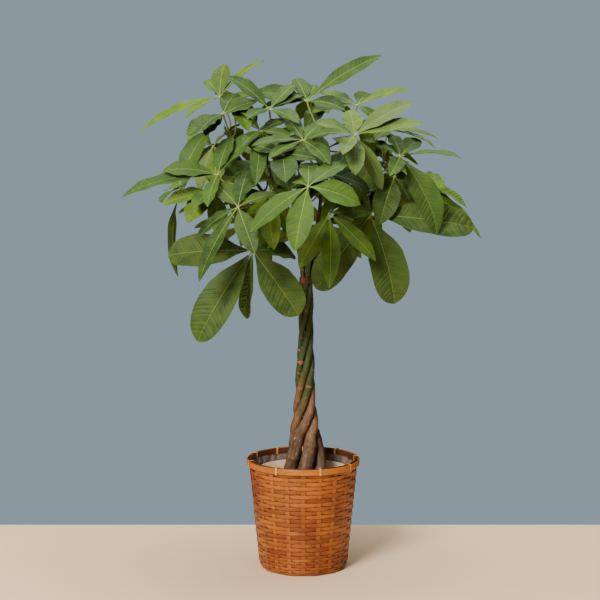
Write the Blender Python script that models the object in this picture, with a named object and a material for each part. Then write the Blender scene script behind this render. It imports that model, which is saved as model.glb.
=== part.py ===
"""Potted money tree: five braided trunks with palmate leaves, in a plastic pot, a film liner
and a round woven bamboo basket. Metres, +Z up, origin at the middle of the basket's underside."""

import math

import bmesh
import bpy
from mathutils import Matrix, Vector
from mathutils.bvhtree import BVHTree

# Driving dimensions
GAP = 0.0003                 # clearance between pieces that touch
BASKET_BASE_R = 0.1090       # outer radius of the basket at the floor
BASKET_TOP_R = 0.1355        # outer radius of the woven wall inside the hoops
BASKET_TOP_Z = 0.2690        # top edge of the woven wall
BASKET_WALL = 0.0045
RIM_Z = 0.2705               # top of both rim hoops
RIM_HEIGHT = 0.0145
OUTER_HOOP_R = 0.1390        # outside of the outer hoop
INNER_HOOP_R = 0.1268        # inside of the inner hoop
TIE_ANGLES = (-149, -115, -73, -28, 17, 55, 98, 141, 180)   # from the front, + to the right
TIE_WIDTH = 0.0056
POT_RIM_R = 0.1150
POT_RIM_Z = 0.2425
POT_BASE_R = 0.0890
POT_WALL = 0.0025
SOIL_Z = 0.2000
STEM_FOOT_Z = 0.1400         # the trunks go this deep into the soil
TIE_Z = 0.7015               # lower edge of the band that holds the braid
TIE_HEIGHT = 0.0150
BLADE = 0.0011               # blade thickness at the midrib
PETIOLE_R = 0.0020

# Braid: height, radius of the circle of trunk centres, trunk radius, drift of its middle along X
BRAID = (
    (0.140, 0.0368, 0.0162, 0.005), (0.200, 0.0374, 0.0176, 0.005), (0.250, 0.0362, 0.0182, 0.005),
    (0.290, 0.0310, 0.0161, 0.005), (0.330, 0.0254, 0.0130, 0.004), (0.365, 0.0218, 0.0108, 0.004),
    (0.400, 0.0184, 0.0094, 0.004), (0.430, 0.0164, 0.0087, 0.004), (0.500, 0.0151, 0.0081, 0.005),
    (0.550, 0.0124, 0.0066, 0.006), (0.650, 0.0116, 0.0062, 0.007), (0.718, 0.0106, 0.0056, 0.008),
)
# Twist: height, angle of trunk 1 from +X, seen from above
TWIST = ((0.140, 150.0), (0.250, 198.0), (0.330, 233.0), (0.400, 323.0), (0.718, 641.0))
# The trunks above the tie, in centimetres
BRANCHES = (
    ((1.5, -1.7, 76), (2.8, -2.4, 82), (3.9, -2.6, 88), (4.2, -2.0, 96), (3.0, -1.2, 103), (1.6, -0.6, 108)),
    ((2.6, -0.3, 76), (4.8, 0.4, 82), (9.0, 1.6, 88), (14, 2.2, 93), (18.5, 2, 98), (20.5, 2, 102)),
    ((1.6, 1.8, 76), (1.6, 3.8, 82), (0.6, 7.5, 88), (-0.5, 11, 94), (-1.0, 13, 100), (0.0, 14, 106)),
    ((-0.5, 1.4, 76), (-2.4, 2.8, 82), (-7.0, 4.0, 88), (-12, 4.4, 95), (-16.5, 3, 102), (-19, 1.5, 108)),
    ((-0.7, -1.0, 76), (-1.6, -2.8, 81), (-3.6, -5.8, 87), (-6.0, -8.4, 92), (-8, -9, 98), (-9, -8, 103)),
)
# Leaves, in centimetres: middle of the hub, the way the leaf faces, its trunk, the height where
# it leaves the trunk, then each leaflet: offset of its tip, greatest width, roll in degrees
LEAVES = (
    ((1, -27, 95), (0, -5, 8), 1, 92, ((-3, -6, -14, 6.0, 0), (-13, -2, -10, 5.8, 0),
        (12, 2, -4, 6.4, 20), (9, 9, 5, 4.8, 0), (0, 12, 5, 4.6, 0), (-5, 10, 1, 4.4, 0))),
    ((6, -14, 88), (1, -8, 5), 1, 85, ((0, -3, -17, 4.4, 0), (11, 0, -11, 4.2, 0),
        (-7, 2, -13, 4.6, 0), (3, 10, 5, 4.0, 0), (10, 8, 0, 4.2, 0))),
    ((-15, -20, 90), (-2, -5, 8), 5, 92, ((-9, -3, -17, 4.5, 0), (-10, 3, -8, 4.6, 0),
        (4, -8, -10, 5.0, 0), (9, 1, 3, 3.8, 0), (2, 8, 8, 4.6, 0), (-6, 9, 5, 5.0, 0))),
    ((-12, -10, 79), (-1, -8, 6), 5, 83, ((-20, 0, -1, 9.0, 0), (-13, -4, -21, 9.2, 0),
        (-2, 5, -17, 6.0, 40), (11, -3, -15, 8.8, 0), (11, 9, 0, 6.0, 0))),
    ((12, -8, 106), (1, -6, 8), 1, 100, ((-1, 5, 6, 5.0, 0), (14, 3, 8, 5.2, 0),
        (16, -1, 4, 4.4, 0), (-9, -6, 3, 4.8, 0), (-3, -11, -4, 3.8, 0), (0, -7, -9, 4.6, 0),
        (7, 3, -13, 3.6, 40))),
    ((0, -14, 105), (-1, -5, 9), 1, 98, ((6, -8, -5, 4.4, 0), (9, -5, 2, 3.8, 0), (5, 8, 4, 3.6, 0),
        (-4, 9, 5, 3.8, 0), (-12, -4, -1, 3.6, 0), (-8, -7, -3, 3.6, 0))),
    ((-5, -16, 102), (0, -8, 6), 5, 99, ((1, -9, -6, 6.2, 0), (-8, 5, 2, 3.6, 0), (8, -4, -1, 3.4, 0),
        (-3, 10, 5, 3.8, 0), (5, 9, 4, 3.6, 0))),
    ((16, -5, 87), (1, -8, 6), 2, 85, ((6, -2, -21, 9.4, 0), (25, 2, -3, 9.2, 0), (-10, 9, 5, 7.0, 0),
        (-13, 2, -18, 8.4, 0), (4, 11, 5, 5.0, 0))),
    ((23, -4, 101), (3, -4, 9), 2, 97, ((9, -5, -18, 7.6, 20), (14, -8, 0, 3.8, 0), (5, 8, 4, 4.4, 0),
        (-2, 7, 6, 4.4, 0), (-3, -12, -4, 3.8, 0), (-9, 3, 4, 3.6, 0))),
    ((-20, -12, 97), (-3, -4, 9), 5, 96, ((-13, 0, 1, 5.0, -20), (-23, 0, -5, 4.6, -10), (10, 6, 10, 6.8, 0),
        (3, 6, 9, 5.0, 0), (-2, -8, -7, 3.8, 0))),
    ((1, 0, 114), (0, -3, 9), 1, 107, ((18, 2, 11, 3.9, 40), (2, 6, 4, 3.0, 0), (-3, 7, 5, 4.4, 0),
        (-13, 2, 2, 5.2, -30), (9, -4, -2, 4.4, 25), (-9, -3, -1, 3.2, 0))),
    ((-20, 0, 115), (-2, -3, 9), 4, 107, ((1, 5, 8, 4.8, 0), (-19, 0, -8, 4.8, -5),
        (-8, -6, -5, 3.4, 0), (11, 4, 9, 3.4, 0), (-4, 11, 4, 3.4, 0))),
    ((-19, -6, 111), (-2, -6, 8), 4, 103, ((-8, -7, -5, 5.4, 0), (-5, -10, -4, 4.4, 0),
        (-4, -5, -5, 4.0, 0), (8, 2, 3, 5.2, 0), (2, 9, 5, 4.4, 0))),
    ((-21, -8, 93), (-2, -6, 7), 4, 90, ((-6, -7, -7, 6.2, 0), (-4, -10, -3, 5.0, 0), (-12, -3, -3, 4.8, 0),
        (0, 9, 7, 4.8, 0), (5, 8, 3, 4.4, 0), (2, -4, -11, 4.8, 0))),
    ((13, 4, 113), (1, -4, 8), 1, 105, ((3, 7, 3, 4.6, 0), (13, 2, 4, 3.6, 0), (-9, 3, 3, 4.4, 0),
        (-12, -4, 0, 4.0, 0), (6, -3, -5, 3.8, 0))),
    ((-8, -4, 112), (0, -4, 9), 5, 102, ((-10, 0, 8, 4.8, -10), (6, 6, 6, 4.2, 0), (7, -8, -3, 4.4, 0),
        (-5, -9, -2, 4.0, 0), (8, 5, 2, 4.0, 0))),
    ((22, 0, 96), (2, -5, 8), 2, 93, ((-4, -8, -11, 6.4, 0), (2, 11, 4, 4.6, 0), (4, 0, -7, 4.0, 0),
        (-7, 5, -2, 4.8, 0))),
    ((26, 12, 95), (3, -4, 8), 2, 91, ((9, -4, -2, 6.0, 15), (15, 0, -7, 4.6, 0), (19, -4, -13, 4.8, 0),
        (-2, 5, -10, 5.0, 0), (-4, 10, 5, 4.4, 0))),
    ((-10, -8, 107), (0, -5, 9), 5, 101, ((-1, -9, -12, 4.0, 0), (-4, -8, -3, 3.2, 0), (-6, 8, 3, 3.4, 0),
        (5, 6, 3, 3.6, 0), (7, -4, -2, 3.6, 0))),
    ((-30, 5, 93), (-5, -2, 8), 4, 94, ((-1, 0, -22, 3.8, 50), (7, 2, 14, 5.4, 45), (-4, -8, -3, 4.2, 0),
        (2, -11, 1, 4.0, 0), (-4, 9, -1, 4.0, 0))),
    ((-17, -1, 114), (0, -6, 8), 4, 105, ((6, -8, -3, 3.8, 0), (4, -5, -8, 4.4, 0), (-4, 9, 2, 3.4, 0),
        (5, 8, 3, 3.6, 0))),
    ((21, 6, 107), (4, -2, 9), 2, 100, ((12, 2, -2, 3.6, 0), (11, -4, -4, 3.4, 0), (2, 9, 2, 3.8, 0),
        (-6, 7, 2, 4.4, 0), (-4, -10, -2, 3.4, 0))),
    ((-8, -3, 92), (-2, -4, 8), 5, 89, ((-12, 2, -4, 5.2, 0), (-7, -6, -12, 5.0, 0), (9, -3, -10, 5.2, 0),
        (1, -5, -13, 5.2, 0), (9, 8, 1, 4.8, 0), (-3, 13, 3, 4.8, 0))),
    ((12, 7, 93), (1, -4, 8), 2, 89, ((-10, 2, -10, 5.2, 0), (4, -4, -14, 5.2, 0), (13, 4, -3, 5.2, 0),
        (4, 13, 3, 4.8, 0), (-11, 9, 2, 4.8, 0))),
    ((-2, 28, 97), (0, 5, 8), 3, 94, ((-15, 3, -6, 5.2, 0), (-5, 13, -11, 5.4, 0), (8, 12, -10, 5.4, 0),
        (15, 2, -3, 5.2, 0), (4, -11, 5, 4.8, 0), (-9, -9, 4, 4.8, 0))),
    ((-17, 20, 91), (-3, 4, 8), 3, 90, ((-13, -2, -2, 4.8, 0), (-11, 11, -7, 5.2, 0), (2, 14, -10, 5.2, 0),
        (11, 5, -5, 4.8, 0), (-2, -12, 4, 4.8, 0))),
    ((18, 21, 92), (3, 4, 8), 3, 97, ((14, 1, -6, 5.0, 0), (9, 12, -8, 5.2, 0), (-4, 13, -11, 5.2, 0),
        (-12, 3, -6, 4.8, 0), (2, -12, 4, 4.8, 0))),
    ((2, 17, 114), (0, 2, 9), 3, 105, ((-13, 6, -2, 4.4, 0), (-3, 15, -5, 4.6, 0), (11, 10, -4, 4.6, 0),
        (12, -4, -1, 4.4, 0), (-7, -9, 1, 4.4, 0), (4, -10, -3, 4.4, 0))),
    ((-15, 13, 104), (-2, 3, 9), 3, 101, ((-14, -3, -5, 4.4, 0), (-11, 11, -6, 4.8, 0), (3, 14, -7, 4.8, 0),
        (11, 3, -3, 4.6, 0), (-3, -11, 2, 4.6, 0))),
    ((15, 16, 104), (2, 3, 9), 3, 103, ((14, 2, -6, 4.6, 0), (8, 13, -7, 4.8, 0), (-6, 13, -7, 4.6, 0),
        (-10, -4, -2, 4.6, 0), (4, -11, 2, 4.8, 0))),
    ((4, 19, 83), (0, 6, 7), 3, 85, ((-13, 3, -6, 5.4, 0), (-3, 8, -13, 5.6, 0), (11, 6, -9, 5.4, 0),
        (14, -3, 1, 5.0, 0), (-5, -8, 5, 4.6, 0))),
    ((-14, 11, 84), (-5, 4, 7), 4, 86, ((-13, -3, -1, 5.0, 0), (-8, 9, -8, 5.2, 0), (6, 9, -11, 5.2, 0),
        (8, -8, -3, 5.0, 0), (-3, -6, 9, 4.6, 0))),
    ((19, 13, 86), (4, 4, 7), 2, 87, ((11, -5, -1, 5.0, 0), (9, 11, -3, 5.2, 0), (-5, 11, -10, 5.2, 0),
        (-10, -4, -6, 5.0, 0), (2, -6, 10, 4.8, 0))),
    ((-22, 10, 89), (-5, 2, 7), 4, 91, ((-9, -7, 0, 4.8, 0), (-9, 7, -3, 5.0, 0), (2, 12, -8, 5.0, 0),
        (9, 8, 4, 4.6, 0), (2, -7, 8, 4.8, 0))),
    ((6, -7, 97), (1, -5, 8), 1, 93, ((-9, -2, -3, 5.2, 0), (-4, -5, -10, 5.6, 0), (5, -3, -11, 5.4, 0),
        (10, 2, -4, 5.2, 0), (5, 9, 5, 4.8, 0), (-5, 8, 5, 4.8, 0))),
    ((-10, 4, 100), (-1, -4, 8), 4, 92, ((-12, 0, -4, 5.4, 0), (-4, -8, -9, 5.4, 0), (7, -6, -8, 5.4, 0),
        (10, 5, 2, 5.0, 0), (2, 4, 9, 5.0, 0), (-8, 6, 5, 4.8, 0))),
    ((17, 5, 100), (1, -4, 8), 2, 94, ((-11, 2, -6, 5.4, 0), (-2, -7, -12, 5.6, 0), (9, -4, -8, 5.0, 0),
        (-4, 1, 10, 5.2, 0), (-10, 2, 5, 5.0, 0), (5, 10, 2, 4.8, 0))),
    ((0, 8, 107), (0, -4, 8), 3, 101, ((-12, 1, -4, 5.2, 0), (-4, -9, -8, 5.2, 0), (6, -8, -7, 5.2, 0),
        (11, -3, 0, 5.2, 0), (5, 3, 7, 5.0, 0), (-7, 5, 5, 4.8, 0))),
    ((-22, 7, 103), (-3, -3, 8), 4, 100, ((-11, -3, -9, 5.0, 0), (-4, -8, -9, 5.2, 0), (7, -5, -8, 5.0, 0),
        (8, 6, 4, 4.8, 0), (-7, 10, 2, 4.6, 0))),
)


def rows_at(rows, z):
    """Straight interpolation in a table whose first column is a height."""
    for a, b in zip(rows, rows[1:]):
        if z <= b[0]:
            f = max(0.0, (z - a[0]) / (b[0] - a[0]))
            return [p + (q - p) * f for p, q in zip(a[1:], b[1:])]
    return list(rows[-1][1:])


def braid_point(number, z):
    """Centre and radius of a trunk (0-4) at a height within the braid."""
    ring, radius, drift = rows_at(BRAID, z)
    angle = math.radians(rows_at(TWIST, z)[0] + 72 * number)
    return Vector((drift + ring * math.cos(angle), ring * math.sin(angle), z)), radius


def catmull(p0, p1, p2, p3, t):
    a = 2 * p1
    b = p2 - p0
    c = 2 * p0 - 5 * p1 + 4 * p2 - p3
    d = 3 * p1 - p0 - 3 * p2 + p3
    return 0.5 * (a + b * t + c * t * t + d * t * t * t)


def trunk_path(number):
    """The centre line and radii of one trunk, from its foot in the soil to its top."""
    path = []
    heights = [0.140, 0.200, 0.240, 0.275, 0.305, 0.330, 0.350, 0.368, 0.386, 0.404]
    while heights[-1] < 0.70:
        heights.append(heights[-1] + 0.0245)
    heights[-1] = 0.718
    for z in heights:
        path.append(braid_point(number, z))
    free = [path[-2][0], path[-1][0]] + [Vector(p) * 0.01 for p in BRANCHES[number]]
    free.append(2 * free[-1] - free[-2])
    count = len(free) - 3
    for i in range(count):
        for step in (0.5, 1.0):
            f = (i + step) / count
            path.append((catmull(*free[i:i + 4], step), 0.0056 - 0.0026 * f))
    return path


def turned_frames(points, first=None):
    """Right and up vectors that follow a path without twisting."""
    frames = []
    side = first
    for i, p in enumerate(points):
        ahead = points[min(i + 1, len(points) - 1)] - points[max(i - 1, 0)]
        ahead.normalize()
        if side is None:
            side = Vector((1, 0, 0))
        side = (side - side.dot(ahead) * ahead).normalized()
        frames.append((side.copy(), ahead.cross(side)))
    return frames


def tube(points, radii, sides, first=None, grow=0.0):
    """A closed tube along a path: vertices and faces."""
    verts = []
    faces = []
    frames = turned_frames(points, first)
    for p, r, (side, up) in zip(points, radii, frames):
        for k in range(sides):
            a = math.tau * k / sides
            verts.append(p + (side * math.cos(a) + up * math.sin(a)) * (r + grow))
    for i in range(len(points) - 1):
        for k in range(sides):
            j = (k + 1) % sides
            faces.append((i * sides + k, i * sides + j, (i + 1) * sides + j, (i + 1) * sides + k))
    faces.append(tuple(reversed(range(sides))))
    faces.append(tuple(range(len(verts) - sides, len(verts))))
    return verts, faces


def leaflet_axes(tip, facing):
    """Along, normal and right vectors of a leaflet."""
    along = tip.normalized()
    normal = (facing - facing.dot(along) * along)
    if normal.length < 0.2:
        normal = Vector((0, 0, 1)) - along.z * along
    normal.normalize()
    return along, normal, along.cross(normal)


# Along a leaflet: place, half-width as a share of the greatest
STATIONS = ((0.10, 0.10), (0.40, 0.97), (0.77, 0.80))
BLUNT_STATIONS = ((0.10, 0.08), (0.46, 0.98), (0.86, 0.74))
BLUNT_LEAVES = (4, 8)        # the big old leaves, whose leaflets stay broad up to the end
FOLD = 0.16                  # how far the edges rise, as a share of the half-width
ARCH = 0.065                 # how far the middle rises, as a share of the length


def leaflet_rings(hub, tip, facing, width, roll, stations, fat=0.0):
    """Rings of four points (top, right, bottom, left) along a leaflet, and its tip point."""
    along, normal, right = leaflet_axes(tip, facing)
    if roll:
        turn = Matrix.Rotation(math.radians(roll), 3, along)
        rolled = (turn @ normal, turn @ right)
    else:
        rolled = (normal, right)
    rings = []
    for u, share in stations:
        f = min(1.0, u / 0.4)
        n = (normal * (1 - f) + rolled[0] * f).normalized()
        s = (right * (1 - f) + rolled[1] * f).normalized()
        centre = hub + tip * u + normal * (ARCH * 4 * u * (1 - u) * tip.length)
        half = width * 0.5 * share + fat
        thick = BLADE * 0.5 + fat * 0.8
        rise = n * (FOLD * half)
        rings.append((centre + n * thick, centre + s * half + rise, centre - n * thick,
                      centre - s * half + rise))
    return rings, hub + tip * (1 + fat / tip.length)


def leaflet_shell(hub, leaflet, facing, stations, fat=0.0, root=False):
    """A leaflet from its first station on, or from the hub, as a closed shape for the crossing test."""
    tip, width, roll = leaflet
    rings, end = leaflet_rings(hub, tip, facing, width, roll, stations, fat)
    if root:
        along, normal, right = leaflet_axes(tip, facing)
        near = hub + along * 0.002
        rings.insert(0, (near + normal * 0.004, near + right * 0.004, near - normal * 0.004,
                         near - right * 0.004))
    verts = [p for ring in rings for p in ring] + [end]
    faces = [(3, 2, 1, 0)]
    for i in range(len(rings) - 1):
        for k in range(4):
            j = (k + 1) % 4
            faces.append((4 * i + k, 4 * i + j, 4 * i + 4 + j, 4 * i + 4 + k))
    last = 4 * (len(rings) - 1)
    for k in range(4):
        faces.append((last + k, last + (k + 1) % 4, len(verts) - 1))
    return verts, faces


def petiole_path(foot, out, hub, facing, bulge):
    """A stalk that leaves the trunk square to it and comes up into the back of the hub."""
    length = (hub - foot).length
    b = foot + out * (0.30 * length) + bulge
    c = hub - facing * (0.32 * length) + bulge
    end = hub - facing * 0.0013
    points = []
    for t in (0.0, 0.06, 0.3, 0.55, 0.8):
        points.append(foot * (1 - t) ** 3 + 3 * b * t * (1 - t) ** 2 + 3 * c * t * t * (1 - t)
                      + end * t ** 3)
    return points


class Taken:
    """The shapes already placed, for the rule that a new one turns aside rather than cross them."""

    def __init__(self):
        self.shapes = []

    def put(self, verts, faces, key):
        low = Vector([min(v[i] for v in verts) for i in range(3)])
        high = Vector([max(v[i] for v in verts) for i in range(3)])
        self.shapes.append((low, high, BVHTree.FromPolygons(verts, faces), key))

    def hits(self, verts, faces, skip=()):
        low = Vector([min(v[i] for v in verts) for i in range(3)])
        high = Vector([max(v[i] for v in verts) for i in range(3)])
        tree = None
        found = 0
        for a, b, shape, key in self.shapes:
            if key in skip:
                continue
            if any(a[i] > high[i] or b[i] < low[i] for i in range(3)):
                continue
            if tree is None:
                tree = BVHTree.FromPolygons(verts, faces)
            if tree.overlap(shape):
                found += 1
        return found


def turns():
    """Small turns to try, least first: swing in the leaf's plane, lift, roll, share of length."""
    found = []
    for swing in range(-30, 31, 5):
        for lift in range(-30, 31, 5):
            for roll in (-24, 0, 24):
                for share in (1.0, 0.85, 0.7):
                    cost = abs(swing) + 0.9 * abs(lift) + 0.5 * abs(roll) + 70 * (1 - share)
                    found.append((cost, swing, lift, roll, share))
    found.sort()
    return found


def turned(tip, facing, swing, lift):
    along, normal, right = leaflet_axes(tip, facing)
    tip = Matrix.Rotation(math.radians(swing), 3, normal) @ tip
    return Matrix.Rotation(math.radians(lift), 3, right) @ tip


def place_leaves(trunks):
    """Every leaf's hub, facing, stalk and leaflets, with each one turned aside where it must be."""
    taken = Taken()
    for number, path in enumerate(trunks):
        verts, faces = tube([p for p, r in path], [r for p, r in path], 8, grow=0.001)
        taken.put(verts, faces, "trunk")
    placed = []
    for number, (hub, facing, trunk, height, leaflets) in enumerate(LEAVES):
        hub = Vector(hub) * 0.01
        facing = Vector(facing).normalized()
        path = trunks[trunk - 1]
        z = height * 0.01
        for (p, r), (q, s) in zip(path, path[1:]):
            if p.z <= z <= q.z:
                f = (z - p.z) / (q.z - p.z)
                middle = p.lerp(q, f)
                radius = r + (s - r) * f
                up = (q - p).normalized()
                break
        toward = hub - middle
        toward = (toward - toward.dot(up) * up).normalized()
        best = None
        for turn in (0, 25, -25, 50, -50, 75, -75):
            out = Matrix.Rotation(math.radians(turn), 3, up) @ toward
            foot = middle + out * (radius + GAP)
            side = (hub - foot).cross(Vector((0, 0, 1))).normalized()
            for way in (0, 1, -1, 2, -2, 3, -3, 4, -4):
                for rise in (0, 1, -1, 2):
                    bulge = side * (0.012 * way) + Vector((0, 0, 0.012 * rise))
                    points = petiole_path(foot, out, hub, facing, bulge)
                    verts, faces = tube(points[1:] + [hub], [0.0032] * 4 + [0.005], 5)
                    crossings = taken.hits(verts, faces)
                    verts, faces = tube(points + [hub], [0.0045] + [0.0032] * 4 + [0.005], 5)
                    crossings += taken.hits(verts, faces, ("trunk",))
                    if best is None or crossings < best[0]:
                        best = (crossings, points, out)
                    if not crossings:
                        break
                if not best[0]:
                    break
            if not best[0]:
                break
        if best[0]:
            print("stalk of leaf", number + 1, "crosses", best[0])
        verts, faces = tube(best[1] + [hub + facing * 0.0014], [0.0025] * 5 + [0.004], 6)
        taken.put(verts, faces, number)
        stations = BLUNT_STATIONS if number + 1 in BLUNT_LEAVES else STATIONS
        placed.append([hub, facing, best[1], best[2], [], stations])
    tries = turns()
    for number, (hub, facing, trunk, height, leaflets) in enumerate(LEAVES):
        hub, facing, stalk, out, done, stations = placed[number]
        for dx, dy, dz, width, roll in leaflets:
            tip = Vector((dx, dy, dz)) * 0.01
            best = None
            for cost, swing, lift, extra, share in tries:
                new = (turned(tip, facing, swing, lift) * share, width * 0.01, roll + extra)
                verts, faces = leaflet_shell(hub, new, facing, stations, 0.0016, True)
                crossings = taken.hits(verts, faces, (number,))
                if not crossings and done:
                    verts, faces = leaflet_shell(hub, new, facing, stations, 0.0002)
                    tree = BVHTree.FromPolygons(verts, faces)
                    for other in done:
                        verts, faces = leaflet_shell(hub, other, facing, stations, 0.0002)
                        if tree.overlap(BVHTree.FromPolygons(verts, faces)):
                            crossings += 1
                if best is None or crossings < best[0]:
                    best = (crossings, new, cost)
                if not crossings:
                    break
            if best[0] or best[2] > 40:
                print("leaf", number + 1, "leaflet", len(done) + 1, "crosses", best[0], "turned", best[2])
            done.append(best[1])
        for leaflet in done:
            verts, faces = leaflet_shell(hub, leaflet, facing, stations, 0.0, True)
            taken.put(verts, faces, number)
    return placed


def leaf_mesh(hub, facing, stalk, out, leaflets, stations):
    """One leaf: its stalk, its hub and all its leaflets, as one closed surface."""
    across = facing.orthogonal().normalized()
    other = facing.cross(across)
    angled = []
    for leaflet in leaflets:
        tip = leaflet[0]
        angled.append((math.atan2(tip.dot(other), tip.dot(across)) % math.tau, leaflet))
    angled.sort(key=lambda item: item[0])
    count = len(angled)
    angles = [a for a, leaflet in angled]
    least = math.tau / count * 0.62
    for again in range(60):
        for k in range(count):
            j = (k + 1) % count
            gap = (angles[j] - angles[k]) % math.tau
            if gap > math.pi * 1.9:
                gap -= math.tau
            if gap < least:
                angles[k] -= (least - gap) * 0.3
                angles[j] += (least - gap) * 0.3
    mid = []
    for k in range(count):
        gap = (angles[(k + 1) % count] - angles[k]) % math.tau
        mid.append(angles[k] + gap * 0.5)
    verts = []
    for level, radius, ring in ((0.0013, 0.0026, angles), (0.0, 0.0037, mid), (-0.0013, 0.0026, angles)):
        for a in ring:
            verts.append(hub + facing * level + (across * math.cos(a) + other * math.sin(a)) * radius)
    top, middle, under = 0, count, 2 * count
    faces = [tuple(range(count))]
    for k in range(count):
        j = (k + 1) % count
        faces.append((top + k, middle + k, top + j))
        faces.append((under + k, under + j, middle + k))
    for k, (a, (tip, width, roll)) in enumerate(angled):
        ring = (top + k, middle + (k - 1) % count, under + k, middle + k)
        rings, end = leaflet_rings(hub, tip, facing, width, roll, stations)
        for points in rings:
            start = len(verts)
            verts += points
            for c in range(4):
                # the cut across each face runs from the midrib to the edge, alike above and below
                near, far, ahead, behind = ring[c], ring[(c + 1) % 4], start + (c + 1) % 4, start + c
                if c % 2 == 0:
                    faces += [(near, far, ahead), (near, ahead, behind)]
                else:
                    faces += [(near, far, behind), (far, ahead, behind)]
            ring = (start, start + 1, start + 2, start + 3)
        verts.append(end)
        for c in range(4):
            faces.append((ring[c], ring[(c + 1) % 4], len(verts) - 1))
    ring = [under + k for k in range(count)]
    side = across * math.cos(angles[0]) + other * math.sin(angles[0])
    radii = (1.25, 1.12, 1.0, 0.9, 0.9)
    path = list(reversed(stalk))
    for i, p in enumerate(path):
        ahead = path[i + 1] - p if i + 1 < len(path) else -out
        if 0 < i < len(path) - 1:
            ahead = path[i + 1] - path[i - 1]
        ahead.normalize()
        side = (side - side.dot(ahead) * ahead).normalized()
        up = side.cross(ahead)
        start = len(verts)
        r = PETIOLE_R * radii[len(path) - 1 - i]
        for k in range(count):
            a = math.tau * k / count
            verts.append(p + (side * math.cos(a) + up * math.sin(a)) * r)
        for k in range(count):
            j = (k + 1) % count
            faces.append((ring[j], ring[k], start + k, start + j))
        ring = [start + k for k in range(count)]
    faces.append(tuple(reversed(ring)))
    return verts, faces


def material(name, colour, roughness, metallic=0.0):
    found = bpy.data.materials.new(name)
    found.use_nodes = True
    shader = found.node_tree.nodes["Principled BSDF"]
    shader.inputs["Base Color"].default_value = (*colour, 1)
    shader.inputs["Roughness"].default_value = roughness
    shader.inputs["Metallic"].default_value = metallic
    return found


def add(name, verts, faces, look, smooth=True):
    mesh = bpy.data.meshes.new(name)
    mesh.from_pydata([tuple(v) for v in verts], [], faces)
    mesh.validate()
    mesh.materials.append(look)
    if smooth:
        mesh.shade_smooth()
        mesh.set_sharp_from_angle(angle=math.radians(40))
    made = bpy.data.objects.new(name, mesh)
    bpy.context.collection.objects.link(made)
    return made


def lathe(name, profile, sides, look, closed=True):
    """A turned piece: the profile (radius, height) runs round its section with the solid on the left;
    a first or last point on the axis becomes one shared point."""
    verts = []
    rows = []
    for r, z in profile:
        if r == 0:
            rows.append([len(verts)])
            verts.append((0, 0, z))
        else:
            rows.append(list(range(len(verts), len(verts) + sides)))
            for k in range(sides):
                a = math.tau * (k + 0.5) / sides
                verts.append((r * math.cos(a), r * math.sin(a), z))
    faces = []
    pairs = list(zip(rows, rows[1:]))
    if closed:
        pairs.append((rows[-1], rows[0]))
    for low, high in pairs:
        for k in range(sides):
            j = (k + 1) % sides
            if len(low) == 1:
                faces.append((low[0], high[j], high[k]))
            elif len(high) == 1:
                faces.append((low[k], low[j], high[0]))
            else:
                faces.append((low[k], low[j], high[j], high[k]))
    return add(name, verts, faces, look)


def wall_radius(z):
    """Outside of the basket's woven wall at a height."""
    f = min(1.0, max(0.0, z / BASKET_TOP_Z))
    return BASKET_BASE_R + (BASKET_TOP_R - BASKET_BASE_R) * f


for old in list(bpy.data.objects):
    bpy.data.objects.remove(old, do_unlink=True)

BAMBOO = material("woven_bamboo", (0.36, 0.14, 0.045), 0.5)
HOOP = material("rim_bamboo", (0.50, 0.20, 0.05), 0.4)
CANE = material("binding_cane", (0.78, 0.66, 0.42), 0.5)
FILM = material("liner_film", (0.52, 0.49, 0.54), 0.25)
POT = material("pot_plastic", (0.82, 0.80, 0.72), 0.4)
EARTH = material("soil", (0.05, 0.035, 0.025), 0.95)
BARK = material("bark", (0.20, 0.15, 0.10), 0.8)
BAND = material("tie_band", (0.55, 0.06, 0.03), 0.5)
GREEN = material("leaf", (0.10, 0.24, 0.04), 0.45)

# Basket: floor and wall in one, with the foot's edge rounded
FLOOR = 0.0050
lathe("woven_basket", [
    (0, 0), (BASKET_BASE_R - 0.005, 0), (wall_radius(0.004), 0.004), (wall_radius(0.09), 0.09),
    (wall_radius(0.18), 0.18), (BASKET_TOP_R, BASKET_TOP_Z), (BASKET_TOP_R - BASKET_WALL, BASKET_TOP_Z),
    (wall_radius(0.13) - BASKET_WALL, 0.13), (wall_radius(FLOOR) - BASKET_WALL, FLOOR), (0, FLOOR)],
    48, BAMBOO, closed=False)

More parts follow.
